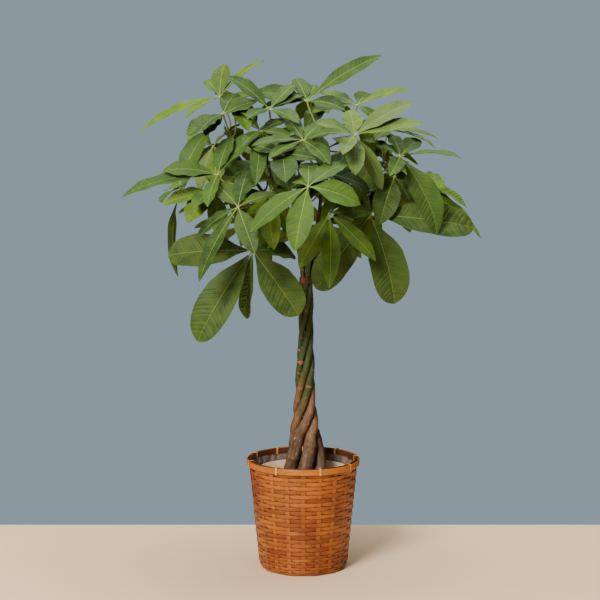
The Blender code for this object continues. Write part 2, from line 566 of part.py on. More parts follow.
# Rim: a hoop outside the wall and one inside it, and the cane bound over both
LOW = RIM_Z - RIM_HEIGHT
SEAT = BASKET_TOP_R + GAP
SEAT_IN = BASKET_TOP_R - BASKET_WALL - GAP - 0.0003
lathe("rim_hoop_outer", [
    (SEAT, LOW), (OUTER_HOOP_R - 0.0008, LOW), (OUTER_HOOP_R, LOW + 0.004), (OUTER_HOOP_R, RIM_Z - 0.004),
    (OUTER_HOOP_R - 0.0010, RIM_Z), (SEAT, RIM_Z)], 48, HOOP)
lathe("rim_hoop_inner", [
    (INNER_HOOP_R, LOW), (SEAT_IN - 0.0007, LOW), (SEAT_IN, RIM_Z), (INNER_HOOP_R, RIM_Z)], 48, HOOP)
for number, angle in enumerate(TIE_ANGLES):
    # a strip bent down over both hoops, with its ends under their lower edges
    inner = INNER_HOOP_R - GAP
    outer = OUTER_HOOP_R + GAP
    section = [(outer, LOW - 0.001), (outer + 0.0011, LOW - 0.001), (outer + 0.0011, RIM_Z + 0.0010),
               (outer - 0.001, RIM_Z + 0.0014), (inner + 0.001, RIM_Z + 0.0014), (inner - 0.0011, RIM_Z + 0.0010),
               (inner - 0.0011, LOW - 0.001), (inner, LOW - 0.001), (inner, RIM_Z + GAP), (outer, RIM_Z + GAP)]
    verts = []
    for across in (-0.5 * TIE_WIDTH, 0.5 * TIE_WIDTH):
        for r, z in section:
            verts.append(Vector((r * math.cos(across / 0.13), r * math.sin(across / 0.13), z)))
    spin = Matrix.Rotation(math.radians(angle - 90), 3, "Z")
    count = len(section)
    faces = [tuple(reversed(range(count))), tuple(range(count, 2 * count))]
    for k in range(count):
        j = (k + 1) % count
        faces.append((k, j, count + j, count + k))
    made = add(f"rim_tie_{number + 1}", [spin @ v for v in verts], faces, CANE, smooth=False)
    shape = bmesh.new()
    shape.from_mesh(made.data)
    bmesh.ops.recalc_face_normals(shape, faces=shape.faces)
    shape.to_mesh(made.data)
    shape.free()

# Film liner, standing on the basket's floor
LINER_LOW = FLOOR + GAP
LINER_TOP = 0.2535


def liner_radius(z):
    return wall_radius(z) - BASKET_WALL - 0.0006


lathe("basket_liner", [
    (0, LINER_LOW), (liner_radius(0.02) - 0.006, LINER_LOW), (liner_radius(0.02), 0.018),
    (liner_radius(0.13), 0.13), (liner_radius(LINER_TOP), LINER_TOP),
    (liner_radius(LINER_TOP) - 0.0010, LINER_TOP), (liner_radius(0.13) - 0.0010, 0.13),
    (liner_radius(0.02) - 0.0010, 0.0185), (liner_radius(0.02) - 0.0065, LINER_LOW + 0.0010),
    (0, LINER_LOW + 0.0010)], 48, FILM, closed=False)

# Pot with a rolled rim, standing on the liner
POT_LOW = LINER_LOW + 0.0010 + GAP
POT_NECK = 0.1080
lathe("inner_pot", [
    (0, POT_LOW), (POT_BASE_R - 0.002, POT_LOW), (POT_BASE_R, POT_LOW + 0.002), (POT_NECK, POT_RIM_Z - 0.012),
    (POT_RIM_R - 0.0008, POT_RIM_Z - 0.011), (POT_RIM_R, POT_RIM_Z - 0.0015), (POT_RIM_R - 0.0012, POT_RIM_Z),
    (POT_RIM_R - 0.0040, POT_RIM_Z), (POT_NECK - POT_WALL, POT_RIM_Z - 0.014),
    (POT_BASE_R - POT_WALL, POT_LOW + 0.003), (0, POT_LOW + 0.003)], 48, POT, closed=False)


def pot_inside(z):
    f = (z - POT_LOW - 0.003) / (POT_RIM_Z - 0.014 - POT_LOW - 0.003)
    return POT_BASE_R - POT_WALL + (POT_NECK - POT_BASE_R) * f


# Trunks
TRUNKS = [trunk_path(number) for number in range(5)]
SIDES = 8
for number, path in enumerate(TRUNKS):
    points = [p for p, r in path]
    radii = [r for p, r in path]
    verts, faces = tube(points, radii, SIDES)
    add(f"stem_{number + 1}", verts, faces, BARK)

# Soil, a low mound with a socket for each trunk's foot
SOIL_LOW = POT_LOW + 0.003 + GAP
soil = lathe("soil", [
    (0, SOIL_LOW), (pot_inside(SOIL_LOW) - 0.0005, SOIL_LOW), (pot_inside(SOIL_Z) - 0.0005, SOIL_Z - 0.002),
    (0.07, SOIL_Z), (0, SOIL_Z)], 40, EARTH, closed=False)
for number, path in enumerate(TRUNKS):
    inside = [(p, r) for p, r in path if p.z < 0.24]
    points = [p for p, r in inside]
    points[0] = points[0] - (points[1] - points[0]).normalized() * 0.0005
    verts, faces = tube(points, [r for p, r in inside], SIDES, grow=0.0005)
    socket = add(f"socket_{number + 1}", verts, faces, EARTH)
    socket.hide_render = True
    socket.display_type = "WIRE"
    cut = soil.modifiers.new(f"socket_{number + 1}", "BOOLEAN")
    cut.operation = "DIFFERENCE"
    cut.object = socket

# Band around the braid
middle = rows_at(BRAID, TIE_Z + 0.5 * TIE_HEIGHT)
BAND_IN = middle[0] + middle[1] + 0.0009
band = lathe("braid_tie", [
    (BAND_IN, TIE_Z), (BAND_IN + 0.0016, TIE_Z), (BAND_IN + 0.0020, TIE_Z + 0.005),
    (BAND_IN + 0.0016, TIE_Z + TIE_HEIGHT), (BAND_IN, TIE_Z + TIE_HEIGHT)], 24, BAND)
band.location.x = middle[2]

# Leaves
for number, leaf in enumerate(place_leaves(TRUNKS)):
    verts, faces = leaf_mesh(*leaf)
    add(f"leaf_{number + 1:02d}", verts, faces, GREEN)
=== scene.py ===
# Looks for a potted money tree: five braided trunks with palmate leaves, in a plastic pot,
# a film liner and a round woven bamboo basket. Metres, +Z up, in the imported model's frame.
import math
import random
from itertools import product

import bpy
import numpy as np
from mathutils import Matrix, Vector, noise
from mathutils.bvhtree import BVHTree


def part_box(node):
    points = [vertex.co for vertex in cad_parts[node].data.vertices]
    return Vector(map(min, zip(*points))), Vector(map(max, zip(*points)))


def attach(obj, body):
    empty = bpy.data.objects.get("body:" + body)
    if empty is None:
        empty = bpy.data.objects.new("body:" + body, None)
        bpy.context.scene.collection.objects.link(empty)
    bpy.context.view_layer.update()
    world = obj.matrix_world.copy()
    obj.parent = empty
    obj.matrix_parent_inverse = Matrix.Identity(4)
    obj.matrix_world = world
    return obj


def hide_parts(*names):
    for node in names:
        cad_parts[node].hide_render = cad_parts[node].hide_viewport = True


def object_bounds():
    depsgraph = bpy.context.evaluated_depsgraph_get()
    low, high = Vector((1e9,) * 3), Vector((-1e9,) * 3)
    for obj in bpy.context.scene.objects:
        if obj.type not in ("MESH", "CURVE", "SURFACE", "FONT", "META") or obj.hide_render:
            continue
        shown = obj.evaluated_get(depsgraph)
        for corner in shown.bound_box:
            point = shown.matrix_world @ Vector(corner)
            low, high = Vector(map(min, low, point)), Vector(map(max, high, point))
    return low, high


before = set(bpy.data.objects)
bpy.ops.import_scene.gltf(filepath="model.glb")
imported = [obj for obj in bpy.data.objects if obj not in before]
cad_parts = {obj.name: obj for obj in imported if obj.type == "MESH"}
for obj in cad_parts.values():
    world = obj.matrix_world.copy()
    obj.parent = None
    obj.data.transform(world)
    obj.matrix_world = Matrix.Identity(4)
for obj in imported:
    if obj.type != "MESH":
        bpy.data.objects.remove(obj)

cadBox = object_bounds()
print("frame loaded:", len(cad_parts), "nodes")


# Meshes

def newObject(name, data):
    made = bpy.data.objects.new(name, data)
    bpy.context.scene.collection.objects.link(made)
    return made


def setValues(mesh, values):
    for label, numbers in values.items():
        layer = mesh.attributes.new(label, "FLOAT", "POINT")
        layer.data.foreach_set("value", np.asarray(numbers, np.float32))


def makeMesh(name, points, faces, materials, values=None, faceMaterials=None, sharpAngle=40):
    mesh = bpy.data.meshes.new(name)
    mesh.from_pydata([tuple(p) for p in points], [], faces)
    for material in materials:
        mesh.materials.append(material)
    if faceMaterials is not None:
        mesh.polygons.foreach_set("material_index", faceMaterials)
    setValues(mesh, values or {})
    mesh.shade_smooth()
    mesh.set_sharp_from_angle(angle=math.radians(sharpAngle))
    mesh.update()
    return mesh


def addPiece(name, mesh, slot, *nodes):
    piece = newObject(name, mesh)
    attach(piece, "root")
    if nodes:
        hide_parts(*nodes)


def around(sides):
    return [math.tau * k / sides for k in range(sides)]


def circle(radius, z, sides):
    return [(radius * math.cos(a), radius * math.sin(a), z) for a in around(sides)]


def gridFaces(rows, columns, wrapRows=False, start=0):
    faces = []
    for i in range(rows if wrapRows else rows - 1):
        for k in range(columns):
            a = start + i * columns + k
            b = start + i * columns + (k + 1) % columns
            up = ((i + 1) % rows - i) * columns
            faces.append((a, b, b + up, a + up))
    return faces


def closeEnds(points, faces, sides, low, high):
    # fans from the first and the last ring to a point each
    last = len(points) - sides
    points += [low, high]
    for k in range(sides):
        j = (k + 1) % sides
        faces.append((len(points) - 2, j, k))
        faces.append((last + k, last + j, len(points) - 1))


def tubeFaces(rows, sides):
    flatEnds = [tuple(reversed(range(sides))), tuple(range((rows - 1) * sides, rows * sides))]
    return gridFaces(rows, sides) + flatEnds


def spin(degrees, axis):
    return Matrix.Rotation(math.radians(degrees), 3, axis)


def spoke(side, up, angle):
    return side * math.cos(angle) + up * math.sin(angle)


def squareTo(axis, vector):
    return (vector - vector.dot(axis) * axis).normalized()


def turnedFrames(points, first=None):
    # side and up vectors that follow a path without twisting
    frames = []
    side = first or Vector((1, 0, 0))
    for i in range(len(points)):
        ahead = (points[min(i + 1, len(points) - 1)] - points[max(i - 1, 0)]).normalized()
        side = squareTo(ahead, side)
        frames.append((side.copy(), ahead.cross(side)))
    return frames


def tube(points, radii, sides, first=None):
    verts = []
    for p, r, (side, up) in zip(points, radii, turnedFrames(points, first)):
        verts += [p + spoke(side, up, a) * r for a in around(sides)]
    return verts, tubeFaces(len(points), sides)


def turnedMesh(name, profile, sides, material, shift=None):
    # a profile of (radius, height) turned round Z: a closed outline, or one that starts and ends on the axis
    onAxis = profile[0][0] == 0
    inner = profile[1:-1] if onAxis else profile
    points = []
    for r, z in inner:
        for a in around(sides):
            dr, dz = shift(a, r, z) if shift else (0, 0)
            points.append(((r + dr) * math.cos(a), (r + dr) * math.sin(a), z + dz))
    faces = gridFaces(len(inner), sides, wrapRows=not onAxis)
    if onAxis:
        closeEnds(points, faces, sides, (0, 0, profile[0][1]), (0, 0, profile[-1][1]))
    return makeMesh(name, points, faces, [material])


def roundedPath(corners, steps=5):
    # an outline whose corners (x, y, radius) are rounded off
    path = []
    for i, (x, y, radius) in enumerate(corners):
        here = Vector((x, y))
        before = (Vector(corners[i - 1][:2]) - here).normalized()
        after = (Vector(corners[(i + 1) % len(corners)][:2]) - here).normalized()
        for s in range(steps + 1):
            t = s / steps
            a = here + before * radius * (1 - t)
            b = here + after * radius * t
            path.append(tuple(a.lerp(b, t)))
    return path


# Node trees

def startTree(name, inputs, outputs=None):
    # a Geometry Nodes tree, or a shader group where outputs are given
    tree = bpy.data.node_groups.new(name, "ShaderNodeTree" if outputs else "GeometryNodeTree")
    shape = [] if outputs else [("Geometry", "Geometry", None)]
    for label, kind, value in shape + inputs:
        socket = tree.interface.new_socket(label, in_out="INPUT", socket_type="NodeSocket" + kind)
        if value is not None:
            socket.default_value = value
    for label in outputs or ["Geometry"]:
        kind = "Float" if outputs else "Geometry"
        tree.interface.new_socket(label, in_out="OUTPUT", socket_type="NodeSocket" + kind)
    return tree, tree.nodes.new("NodeGroupInput").outputs, tree.nodes.new("NodeGroupOutput").inputs


def isSocket(value):
    return isinstance(value, bpy.types.NodeSocket)


def addNode(tree, kind, inputs=None, **settings):
    # the outputs of a new node whose inputs are linked or set
    made = tree.nodes.new(kind)
    for key, value in settings.items():
        setattr(made, key, value)
    for key, value in (inputs or {}).items():
        if isSocket(value):
            tree.links.new(value, made.inputs[key])
        elif made.inputs[key].type == "RGBA":
            made.inputs[key].default_value = (*value, 1)
        else:
            made.inputs[key].default_value = value
    return made.outputs


def calc(operation, *values):
    # a sum in the tree of its first linked value
    tree = next(value.id_data for value in values if isSocket(value))
    return addNode(tree, "ShaderNodeMath", dict(enumerate(values)), operation=operation)[0]


def times(a, b):
    return calc("MULTIPLY", a, b)


def plus(a, b):
    return calc("ADD", a, b)


def triple(tree, x=0.0, y=0.0, z=0.0):
    return addNode(tree, "ShaderNodeCombineXYZ", {0: x, 1: y, 2: z})[0]


def partsOf(vector):
    return addNode(vector.id_data, "ShaderNodeSeparateXYZ", {0: vector})


def named(tree, *labels):
    # the values that the mesh holds under these names
    if tree.bl_idname == "ShaderNodeTree":
        return [addNode(tree, "ShaderNodeAttribute", attribute_name=label)["Fac"] for label in labels]
    return [addNode(tree, "GeometryNodeInputNamedAttribute", {"Name": label}, data_type="FLOAT")[0]
            for label in labels]


def storeValue(geometry, label, value):
    return addNode(geometry.id_data, "GeometryNodeStoreNamedAttribute", {
        "Geometry": geometry, "Name": label, "Value": value}, data_type="FLOAT", domain="POINT")[0]


def finishTree(geometry, out, material, smooth=True):
    tree = geometry.id_data
    geometry = addNode(tree, "GeometryNodeRealizeInstances", {0: geometry})[0]
    if smooth:
        geometry = addNode(tree, "GeometryNodeSetShadeSmooth", {0: geometry})[0]
    geometry = addNode(tree, "GeometryNodeSetMaterial", {"Geometry": geometry, "Material": material})[0]
    tree.links.new(geometry, out[0])
    return tree


def growPiece(name, mesh, tree, sizes):
    # the tree's result as a plain mesh
    piece = newObject(name, mesh)
    modifier = piece.modifiers.new(name, "NODES")
    modifier.node_group = tree
    for item in tree.interface.items_tree:
        if item.in_out == "INPUT" and item.name in sizes:
            modifier[item.identifier] = sizes[item.name]
    bpy.context.view_layer.update()
    grown = piece.evaluated_get(bpy.context.evaluated_depsgraph_get())
    result = bpy.data.meshes.new_from_object(grown)
    bpy.data.objects.remove(piece)
    result.name = name
    return result


# Shader groups shared by the materials

def ramp(value, low, high, outLow=0.0, outHigh=1.0):
    # a soft step from outLow at low to outHigh at high
    inputs = {"Value": value, "From Min": low, "From Max": high, "To Min": outLow, "To Max": outHigh}
    return addNode(value.id_data, "ShaderNodeMapRange", inputs, interpolation_type="SMOOTHSTEP")["Result"]


def paint(colour, *coats):
    # the colour with each (mask, colour) laid over it in turn
    for mask, coat in coats:
        colour = addNode(mask.id_data, "ShaderNodeMix", {0: mask, 6: colour, 7: coat}, data_type="RGBA")[2]
    return colour


def noiseMasks(group, out, inputs, rows, dimensions="3D"):
    for label, scale, detail, edge in rows:
        pattern = addNode(group, "ShaderNodeTexNoise", dict(inputs, Scale=scale, Detail=detail),
                          noise_dimensions=dimensions)
        group.links.new(ramp(pattern["Fac"], edge, 1 - edge), out[label])
    return group


def objectPlace(tree):
    return addNode(tree, "ShaderNodeTexCoord")["Object"]


def makeStreaks():
    # long streaks, as in bamboo and bark: the stretch says how fast the pattern changes along each axis
    group, given, out = startTree("fibreStreaks", [
        ("Place", "Vector", (0, 0, 0)), ("Stretch", "Vector", (1, 1, 1)), ("Shift", "Float", 0.0)],
        ["Broad", "Fine"])
    moved = addNode(group, "ShaderNodeVectorMath", {0: given["Place"], 1: given["Stretch"]},
                    operation="MULTIPLY")[0]
    return noiseMasks(group, out, {"Vector": moved, "W": given["Shift"]},
                      (("Broad", 1.0, 2.0, 0.3), ("Fine", 3.7, 3.0, 0.25)), "4D")


def makeMottle():
    # cloudy patches and small specks in even scatter
    group, given, out = startTree("mottle", [("Scale", "Float", 20.0), ("Specks", "Float", 300.0)],
                                  ["Cloud", "Speck"])
    return noiseMasks(group, out, {"Vector": objectPlace(group)},
                      (("Cloud", given["Scale"], 4.0, 0.3), ("Speck", given["Specks"], 2.0, 0.35)))


streakGroup = makeStreaks()
mottleGroup = makeMottle()


def placeStreaks(tree, place, stretch, shift):
    group = addNode(tree, "ShaderNodeGroup", {"Place": place, "Stretch": stretch, "Shift": shift},
                    node_tree=streakGroup)
    return group["Broad"], group["Fine"]


def startMaterial(name, look):
    # a new material and its tree, with the cloud and speck masks that all of them use
    material = bpy.data.materials.new(name)
    material.use_nodes = True
    tree = material.node_tree
    tree.nodes["Principled BSDF"].inputs["Specular IOR Level"].default_value = look.get("specular", 0.5)
    mottle = addNode(tree, "ShaderNodeGroup", {"Scale": look["cloudScale"], "Specks": look["grainScale"]},
                     node_tree=mottleGroup)
    return material, tree, mottle["Cloud"], mottle["Speck"]


def finishMaterial(material, look, colour, height, rough):
    # rough is a change on the look's roughness, or a mask that runs between its two values
    tree = material.node_tree
    if isinstance(look["roughness"], tuple):
        rough = ramp(rough, 0.0, 1.0, *look["roughness"])
    else:
        rough = plus(rough, look["roughness"])
    bump = addNode(tree, "ShaderNodeBump", {
        "Height": height, "Distance": look["relief"], "Strength": look.get("bump", 0.5)})
    for label, value in (("Base Color", colour), ("Roughness", rough), ("Normal", bump[0])):
        tree.links.new(value, tree.nodes["Principled BSDF"].inputs[label])
    return material


def bambooMaterial(name, look):
    # split bamboo: fibres along the stretch, each strip with its own tint, darker scorched patches
    material, tree, cloud, speck = startMaterial(name, look)
    tint, across = named(tree, "tint", "across")
    broad, fine = placeStreaks(tree, objectPlace(tree), look["stretch"], times(tint, 9.0))
    edges = ramp(calc("ABSOLUTE", across), 0.72, 1.0)
    colour = paint(
        look["dark"], (ramp(tint, 0.0, 1.0), look["light"]), (times(broad, 0.5), look["warm"]),
        (times(times(cloud, cloud), look["patches"]), look["dark"]),
        (times(fine, look["lines"]), look["line"]), (times(edges, look["edge"]), look["line"]))
    return finishMaterial(material, look, colour, plus(fine, times(speck, 0.3)), times(cloud, 0.16))


def leafBladeMaterial(look):
    material, tree, cloud, speck = startMaterial("leafBlade", look)
    tone, rib, vein, edge, run, under, warm, wax = named(
        tree, "tone", "rib", "vein", "edge", "run", "under", "warm", "wax")
    # the tone holds each leaf's own green together with painted light and shade
    shade = plus(tone, calc("MULTIPLY_ADD", cloud, look["cloud"], -0.5 * look["cloud"]))
    # side veins are lines where the vein count is whole, fading to the edge
    away = calc("PINGPONG", vein, 0.5)
    fade = calc("SUBTRACT", 1.0, calc("POWER", edge, 3.0))
    veinLine = times(ramp(away, look["veinWidth"], 0.02), fade)
    ribWidth = calc("MULTIPLY_ADD", run, -0.7 * look["ribWidth"], look["ribWidth"])
    ribLine = ramp(calc("DIVIDE", rib, ribWidth), 1.25, 0.55)
    colour = paint(
        look["dark"], (ramp(shade, 0.0, 0.5), look["middle"]), (ramp(shade, 0.5, 1.0), look["bright"]),
        (times(times(warm, cloud), look["warmth"]), look["warmTint"]), (times(speck, 0.10), look["dark"]),
        (wax, look["wax"]), (times(veinLine, look["veinTint"]), look["veinColour"]),
        (times(ribLine, look["ribTint"]), look["ribColour"]), (times(under, 0.55), look["underside"]))
    rough = plus(times(under, 0.2), times(cloud, 0.12))
    return finishMaterial(material, look, colour, plus(ramp(away, 0.0, 0.32), times(speck, 0.12)), rough)


def stalkMaterial(look):
    material, tree, cloud, speck = startMaterial("leafStalk", look)
    run, = named(tree, "run")
    colour = paint(look["foot"], (run, look["hub"]), (times(cloud, 0.3), look["flush"]))
    return finishMaterial(material, look, colour, speck, cloud)


def barkMaterial(look):
    # brown corky bark at the foot, green smooth bark with brown scars above; the pattern follows each trunk
    material, tree, cloud = startMaterial("braidBark", look)[:3]
    tint, late, trunkShade, *follow = named(tree, "tint", "late", "trunkShade", "aside", "across", "along")
    follow = triple(tree, *follow)
    broad, fine = placeStreaks(tree, follow, look["streaks"], tint)
    patch, finePatch = placeStreaks(tree, follow, look["patches"], tint)
    scars = placeStreaks(tree, follow, look["rings"], tint)[0]
    # painted shade: each trunk's set darkening, together with random stains, mixes the bark towards the deep
    # brown
    shadeAndStains = plus(trunkShade, ramp(cloud, 0.35, 0.9, 0.0, look["stains"]))
    brown = paint(look["brown"], (broad, look["grey"]), (times(patch, look["tanShare"]), look["tan"]),
                  (ramp(fine, 0.68, 1.0, 0.0, look["flecks"]), look["fleck"]), (shadeAndStains, look["deep"]))
    green = paint(look["green"], (broad, look["olive"]),
                  (ramp(scars, 0.86, 0.98, 0.0, 0.8), look["scar"]),
                  (ramp(cloud, 0.5, 1.0, 0.0, 0.3), look["brown"]))
    # how far a point is above the place where its trunk turns green
    level = plus(partsOf(objectPlace(tree))["Z"], calc("MULTIPLY_ADD", patch, 0.05, -0.025))
    level = calc("SUBTRACT", calc("SUBTRACT", level, late), look["greenFrom"])
    rust = ramp(calc("ABSOLUTE", plus(level, 0.02)), 0.06, 0.005, 0.0, 0.7)
    colour = paint(brown, (ramp(level, -0.04, 0.03), green), (times(rust, finePatch), look["rust"]))
    return finishMaterial(material, look, colour, plus(fine, times(finePatch, 0.8)), cloud)


def plainMaterial(name, look):
    # moulded plastic, film, soil, tape and floor: a colour with cloudy change, fine grain and uneven gloss
    material, tree, cloud, speck = startMaterial(name, look)
    grains = times(speck, look["specks"])
    colour = paint(look["colour"], (cloud, look["second"]), (grains, look["speckColour"]))
    return finishMaterial(material, look, colour, speck, cloud)


# Basket: rows of split bamboo woven over twenty stakes

basket = {
    "stakes": 20, "stakeWidth": 0.0125, "stakeThickness": 0.0009,
    "fineRows": 7, "fineRow": 0.0073, "wallRows": 21, "baseRings": 8,
    "foot": 0.1090, "inset": 0.0022,    # outer radius at the floor; from there to the middle of the weave
    "hole": 0.012, "baseHeight": 0.0019, "baseTuck": 0.0045, "tuckHeight": 0.02, "baseSlack": 0.55,
    "stakeStart": 0.011, "stakeTaper": 0.13,
    "stripThickness": 0.13, "stripHalf": (0.512, 0.556),    # as shares of a strip's height
    "swing": 0.00110,                   # how far a strip moves in and out round the stakes
    "squareness": 1.9, "waver": 0.0018, "segments": 220, "sides": 8,
}
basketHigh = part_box("woven_basket")[1]
topRadius = basketHigh.x
topHeight = basketHigh.z
flare = (topRadius - basket["foot"]) / topHeight     # how fast the wall opens with height


def wallMiddle(z):
    # radius and lean of the middle of the weave at a height
    tuck = max(0.0, 1 - z / basket["tuckHeight"])
    radius = topRadius - flare * (topHeight - z) - basket["inset"] - basket["baseTuck"] * tuck * tuck
    slope = flare + 2 * basket["baseTuck"] * tuck / basket["tuckHeight"]
    return radius, -math.atan(slope)


def rowPlaces():
    # radius, height, lean and strip height of each woven row, from the middle of the base to the rim
    hole = basket["hole"]
    pitch = (wallMiddle(0)[0] - 0.003 - hole) / basket["baseRings"]
    rows = [(hole + pitch * (i + 0.5), basket["baseHeight"], -math.pi / 2, pitch)
            for i in range(basket["baseRings"])]
    z = 0.0012
    for count, pitch in ((basket["fineRows"], basket["fineRow"]), (basket["wallRows"], None)):
        pitch = pitch or (topHeight - z - 0.0006) / count
        for i in range(count):
            radius, lean = wallMiddle(z + pitch / 2)
            rows.append((radius, z + pitch / 2, lean, pitch))
            z += pitch
    return rows


def unitCircle(tree, segments):
    return addNode(tree, "GeometryNodeCurvePrimitiveCircle", {"Resolution": segments, "Radius": 1.0})[0]


def stripAlong(path, sides, flatness, wide="X", **caps):
    # a flat strip along a curve, with half its width in "half" and the place across it in "across"
    tree = path.id_data
    place = partsOf(addNode(tree, "GeometryNodeInputPosition")[0])[wide]
    section = storeValue(unitCircle(tree, sides), "across", place)
    flat = triple(tree, 1.0, flatness, 1.0) if wide == "X" else triple(tree, flatness, 1.0, 1.0)
    section = addNode(tree, "GeometryNodeTransform", {"Geometry": section, "Scale": flat})[0]
    return addNode(tree, "GeometryNodeCurveToMesh", {
        "Curve": path, "Profile Curve": section, "Scale": named(tree, "half")[0], **caps})[0]


def copiesAt(points, instance, **turns):
    inputs = {"Points": points, "Instance": instance, **turns}
    return addNode(instance.id_data, "GeometryNodeInstanceOnPoints", inputs)[0]


def anyValue(tree, **inputs):
    # a random number for each ID, or a random vector where limits are given
    kind, output = ("FLOAT_VECTOR", 0) if "Max" in inputs else ("FLOAT", 1)
    return addNode(tree, "FunctionNodeRandomValue", inputs, data_type=kind)[output]


def rowTree(material):
    # a ring of strip for each row, waving in and out round the stakes
    tree, given, out = startTree("wovenRows", [
        ("Segments", "Int", 240), ("Sides", "Int", 10), ("Stakes", "Float", 20.0), ("Swing", "Float", 0.001),
        ("Waver", "Float", 0.001), ("Flatness", "Float", 0.13), ("Seed", "Int", 1)])
    radius, course, slack, lean, tilt = named(tree, "ring", "course", "slack", "lean", "tilt")
    rings = copiesAt(given["Geometry"], unitCircle(tree, given["Segments"]),
                     Scale=triple(tree, radius, radius, 1.0))
    rings = addNode(tree, "GeometryNodeRealizeInstances", {0: rings})[0]
    place = addNode(tree, "GeometryNodeInputPosition")[0]
    parts = partsOf(place)
    angle = calc("ARCTAN2", parts["Y"], parts["X"])
    phase = plus(times(angle, calc("DIVIDE", given["Stakes"], 2.0)), times(course, math.pi))
    wave = calc("TANH", times(calc("COSINE", phase), basket["squareness"]))
    drift = addNode(tree, "ShaderNodeTexNoise", {"Vector": place, "Scale": 14.0, "Detail": 1.0})["Fac"]
    rise = times(calc("SUBTRACT", drift, 0.5), given["Waver"])
    outward = times(wave, times(given["Swing"], slack))
    cosLean, sinLean = calc("COSINE", lean), calc("SINE", lean)
    away = calc("SUBTRACT", times(outward, cosLean), times(rise, sinLean))
    up = plus(times(outward, sinLean), times(rise, cosLean))
    offset = triple(tree, times(away, calc("COSINE", angle)), times(away, calc("SINE", angle)), up)
    # each visible length of strip has its own tint
    length = calc("FLOOR", calc("DIVIDE", plus(phase, math.pi), math.tau))
    number = plus(length, times(course, 64.0))
    rings = storeValue(rings, "tint", anyValue(tree, ID=number, Seed=given["Seed"]))
    moved = addNode(tree, "GeometryNodeSetPosition", {"Geometry": rings, "Offset": offset})[0]
    tilted = addNode(tree, "GeometryNodeSetCurveTilt", {"Curve": moved, "Tilt": tilt})[0]
    return finishTree(stripAlong(tilted, given["Sides"], given["Flatness"], "Y"), out, material)


def stakeTree(material):
    # one stake along its path, then copies all round
    tree, given, out = startTree("basketStakes", [
        ("Stakes", "Int", 20), ("Sides", "Int", 8), ("Flatness", "Float", 0.1), ("Seed", "Int", 1)])
    path = addNode(tree, "GeometryNodeMeshToCurve", {0: given["Geometry"]})[0]
    stake = stripAlong(path, given["Sides"], given["Flatness"], **{"Fill Caps": True})
    places = addNode(tree, "GeometryNodeMeshLine", {"Count": given["Stakes"], "Offset": (0, 0, 0)})[0]
    index = addNode(tree, "GeometryNodeInputIndex")[0]
    turn = calc("DIVIDE", times(index, math.tau), given["Stakes"])
    places = storeValue(places, "tint", anyValue(tree, ID=index, Seed=given["Seed"]))
    return finishTree(copiesAt(places, stake, Rotation=triple(tree, z=turn)), out, material)


def pointMesh(name, points, edges, **values):
    mesh = bpy.data.meshes.new(name)
    mesh.from_pydata(points, edges, [])
    setValues(mesh, values)
    return mesh


stripLook = {
    "stretch": (26.0, 26.0, 420.0), "cloudScale": 13.0, "grainScale": 420.0, "dark": (0.18, 0.032, 0.006),
    "light": (0.47, 0.134, 0.017), "warm": (0.50, 0.160, 0.018), "patches": 0.85, "lines": 0.22,
    "line": (0.14, 0.030, 0.006), "edge": 0.7, "relief": 0.00035, "roughness": 0.37, "specular": 0.36,
}
stakeLook = dict(stripLook, stretch=(420.0, 420.0, 26.0), dark=(0.27, 0.064, 0.009),
                 light=(0.47, 0.145, 0.020), warm=(0.45, 0.135, 0.017), edge=0.5)

rows = rowPlaces()
draw = random.Random(7)
rowMesh = pointMesh(
    "rowPoints", [(0, 0, row[1]) for row in rows], [],
    ring=[row[0] for row in rows], lean=[row[2] for row in rows], tilt=[-row[2] for row in rows],
    half=[row[3] * draw.uniform(*basket["stripHalf"]) for row in rows], course=range(len(rows)),
    slack=[basket["baseSlack"] if row[2] < -1 else 1.0 for row in rows])
woven = growPiece("woven_wall", rowMesh, rowTree(bambooMaterial("wovenStrip", stripLook)), {
    "Segments": basket["segments"], "Sides": basket["sides"], "Stakes": float(basket["stakes"]),
    "Swing": basket["swing"], "Waver": basket["waver"], "Flatness": basket["stripThickness"], "Seed": 4})
addPiece("woven_wall", woven, "basket_weave", "woven_basket")

# a stake runs out under the base, bends up and follows the wall
stakeReach = wallMiddle(0)[0] - 0.003 - basket["stakeStart"]
stakePath = [(basket["stakeStart"] + stakeReach * i / 8, 0, basket["baseHeight"]) for i in range(9)]
for z in (0.0045, 0.010, 0.016, 0.022, 0.034, *np.linspace(0.05, topHeight - 0.0005, 12)):
    stakePath.append((wallMiddle(z)[0], 0, z))
stakeHalf = [min(basket["stakeWidth"] / 2, basket["stakeTaper"] * p[0] + 0.0003) for p in stakePath]
stakeMesh = pointMesh("stakePath", stakePath, [(i, i + 1) for i in range(len(stakePath) - 1)], half=stakeHalf)
stakes = growPiece("basket_stakes", stakeMesh, stakeTree(bambooMaterial("basketStake", stakeLook)), {
    "Stakes": basket["stakes"], "Flatness": basket["stakeThickness"] / basket["stakeWidth"], "Seed": 11})
addPiece("basket_stakes", stakes, "basket_weave")
print("basket woven:", len(woven.polygons), "faces")


# Rim: two bamboo hoops and the cane bound over them

rim = {
    "segments": 192, "waver": 0.0003,
    "nodes": (0.6, 2.5, 4.4), "nodeWidth": 0.018,    # the bamboo's joints, in radians round the hoop
    "inside": 0.1268, "insideSeat": 0.1301, "cutEdge": 0.0007,
}


def hoopMesh(name, corners, material, nodeShift):
    def shift(angle, r, z):
        swell = sum(math.exp(-((math.remainder(angle - a - nodeShift, math.tau)) / rim["nodeWidth"]) ** 2)
                    for a in rim["nodes"])
        uneven = noise.noise((4 * math.cos(angle), 4 * math.sin(angle), nodeShift))
        outer = 1 if r > 0.5 * (corners[0][0] + corners[1][0]) else 0
        return rim["waver"] * (uneven - 1.2 + swell) * outer, rim["waver"] * (uneven - 1.1)

    mesh = turnedMesh(name, roundedPath(corners), rim["segments"], material, shift)
    # the upper cut edge is dark with age
    cut = corners[2][1] - rim["cutEdge"]
    setValues(mesh, {"across": [1.0 if v.co.z > cut else 0.0 for v in mesh.vertices]})
    return mesh


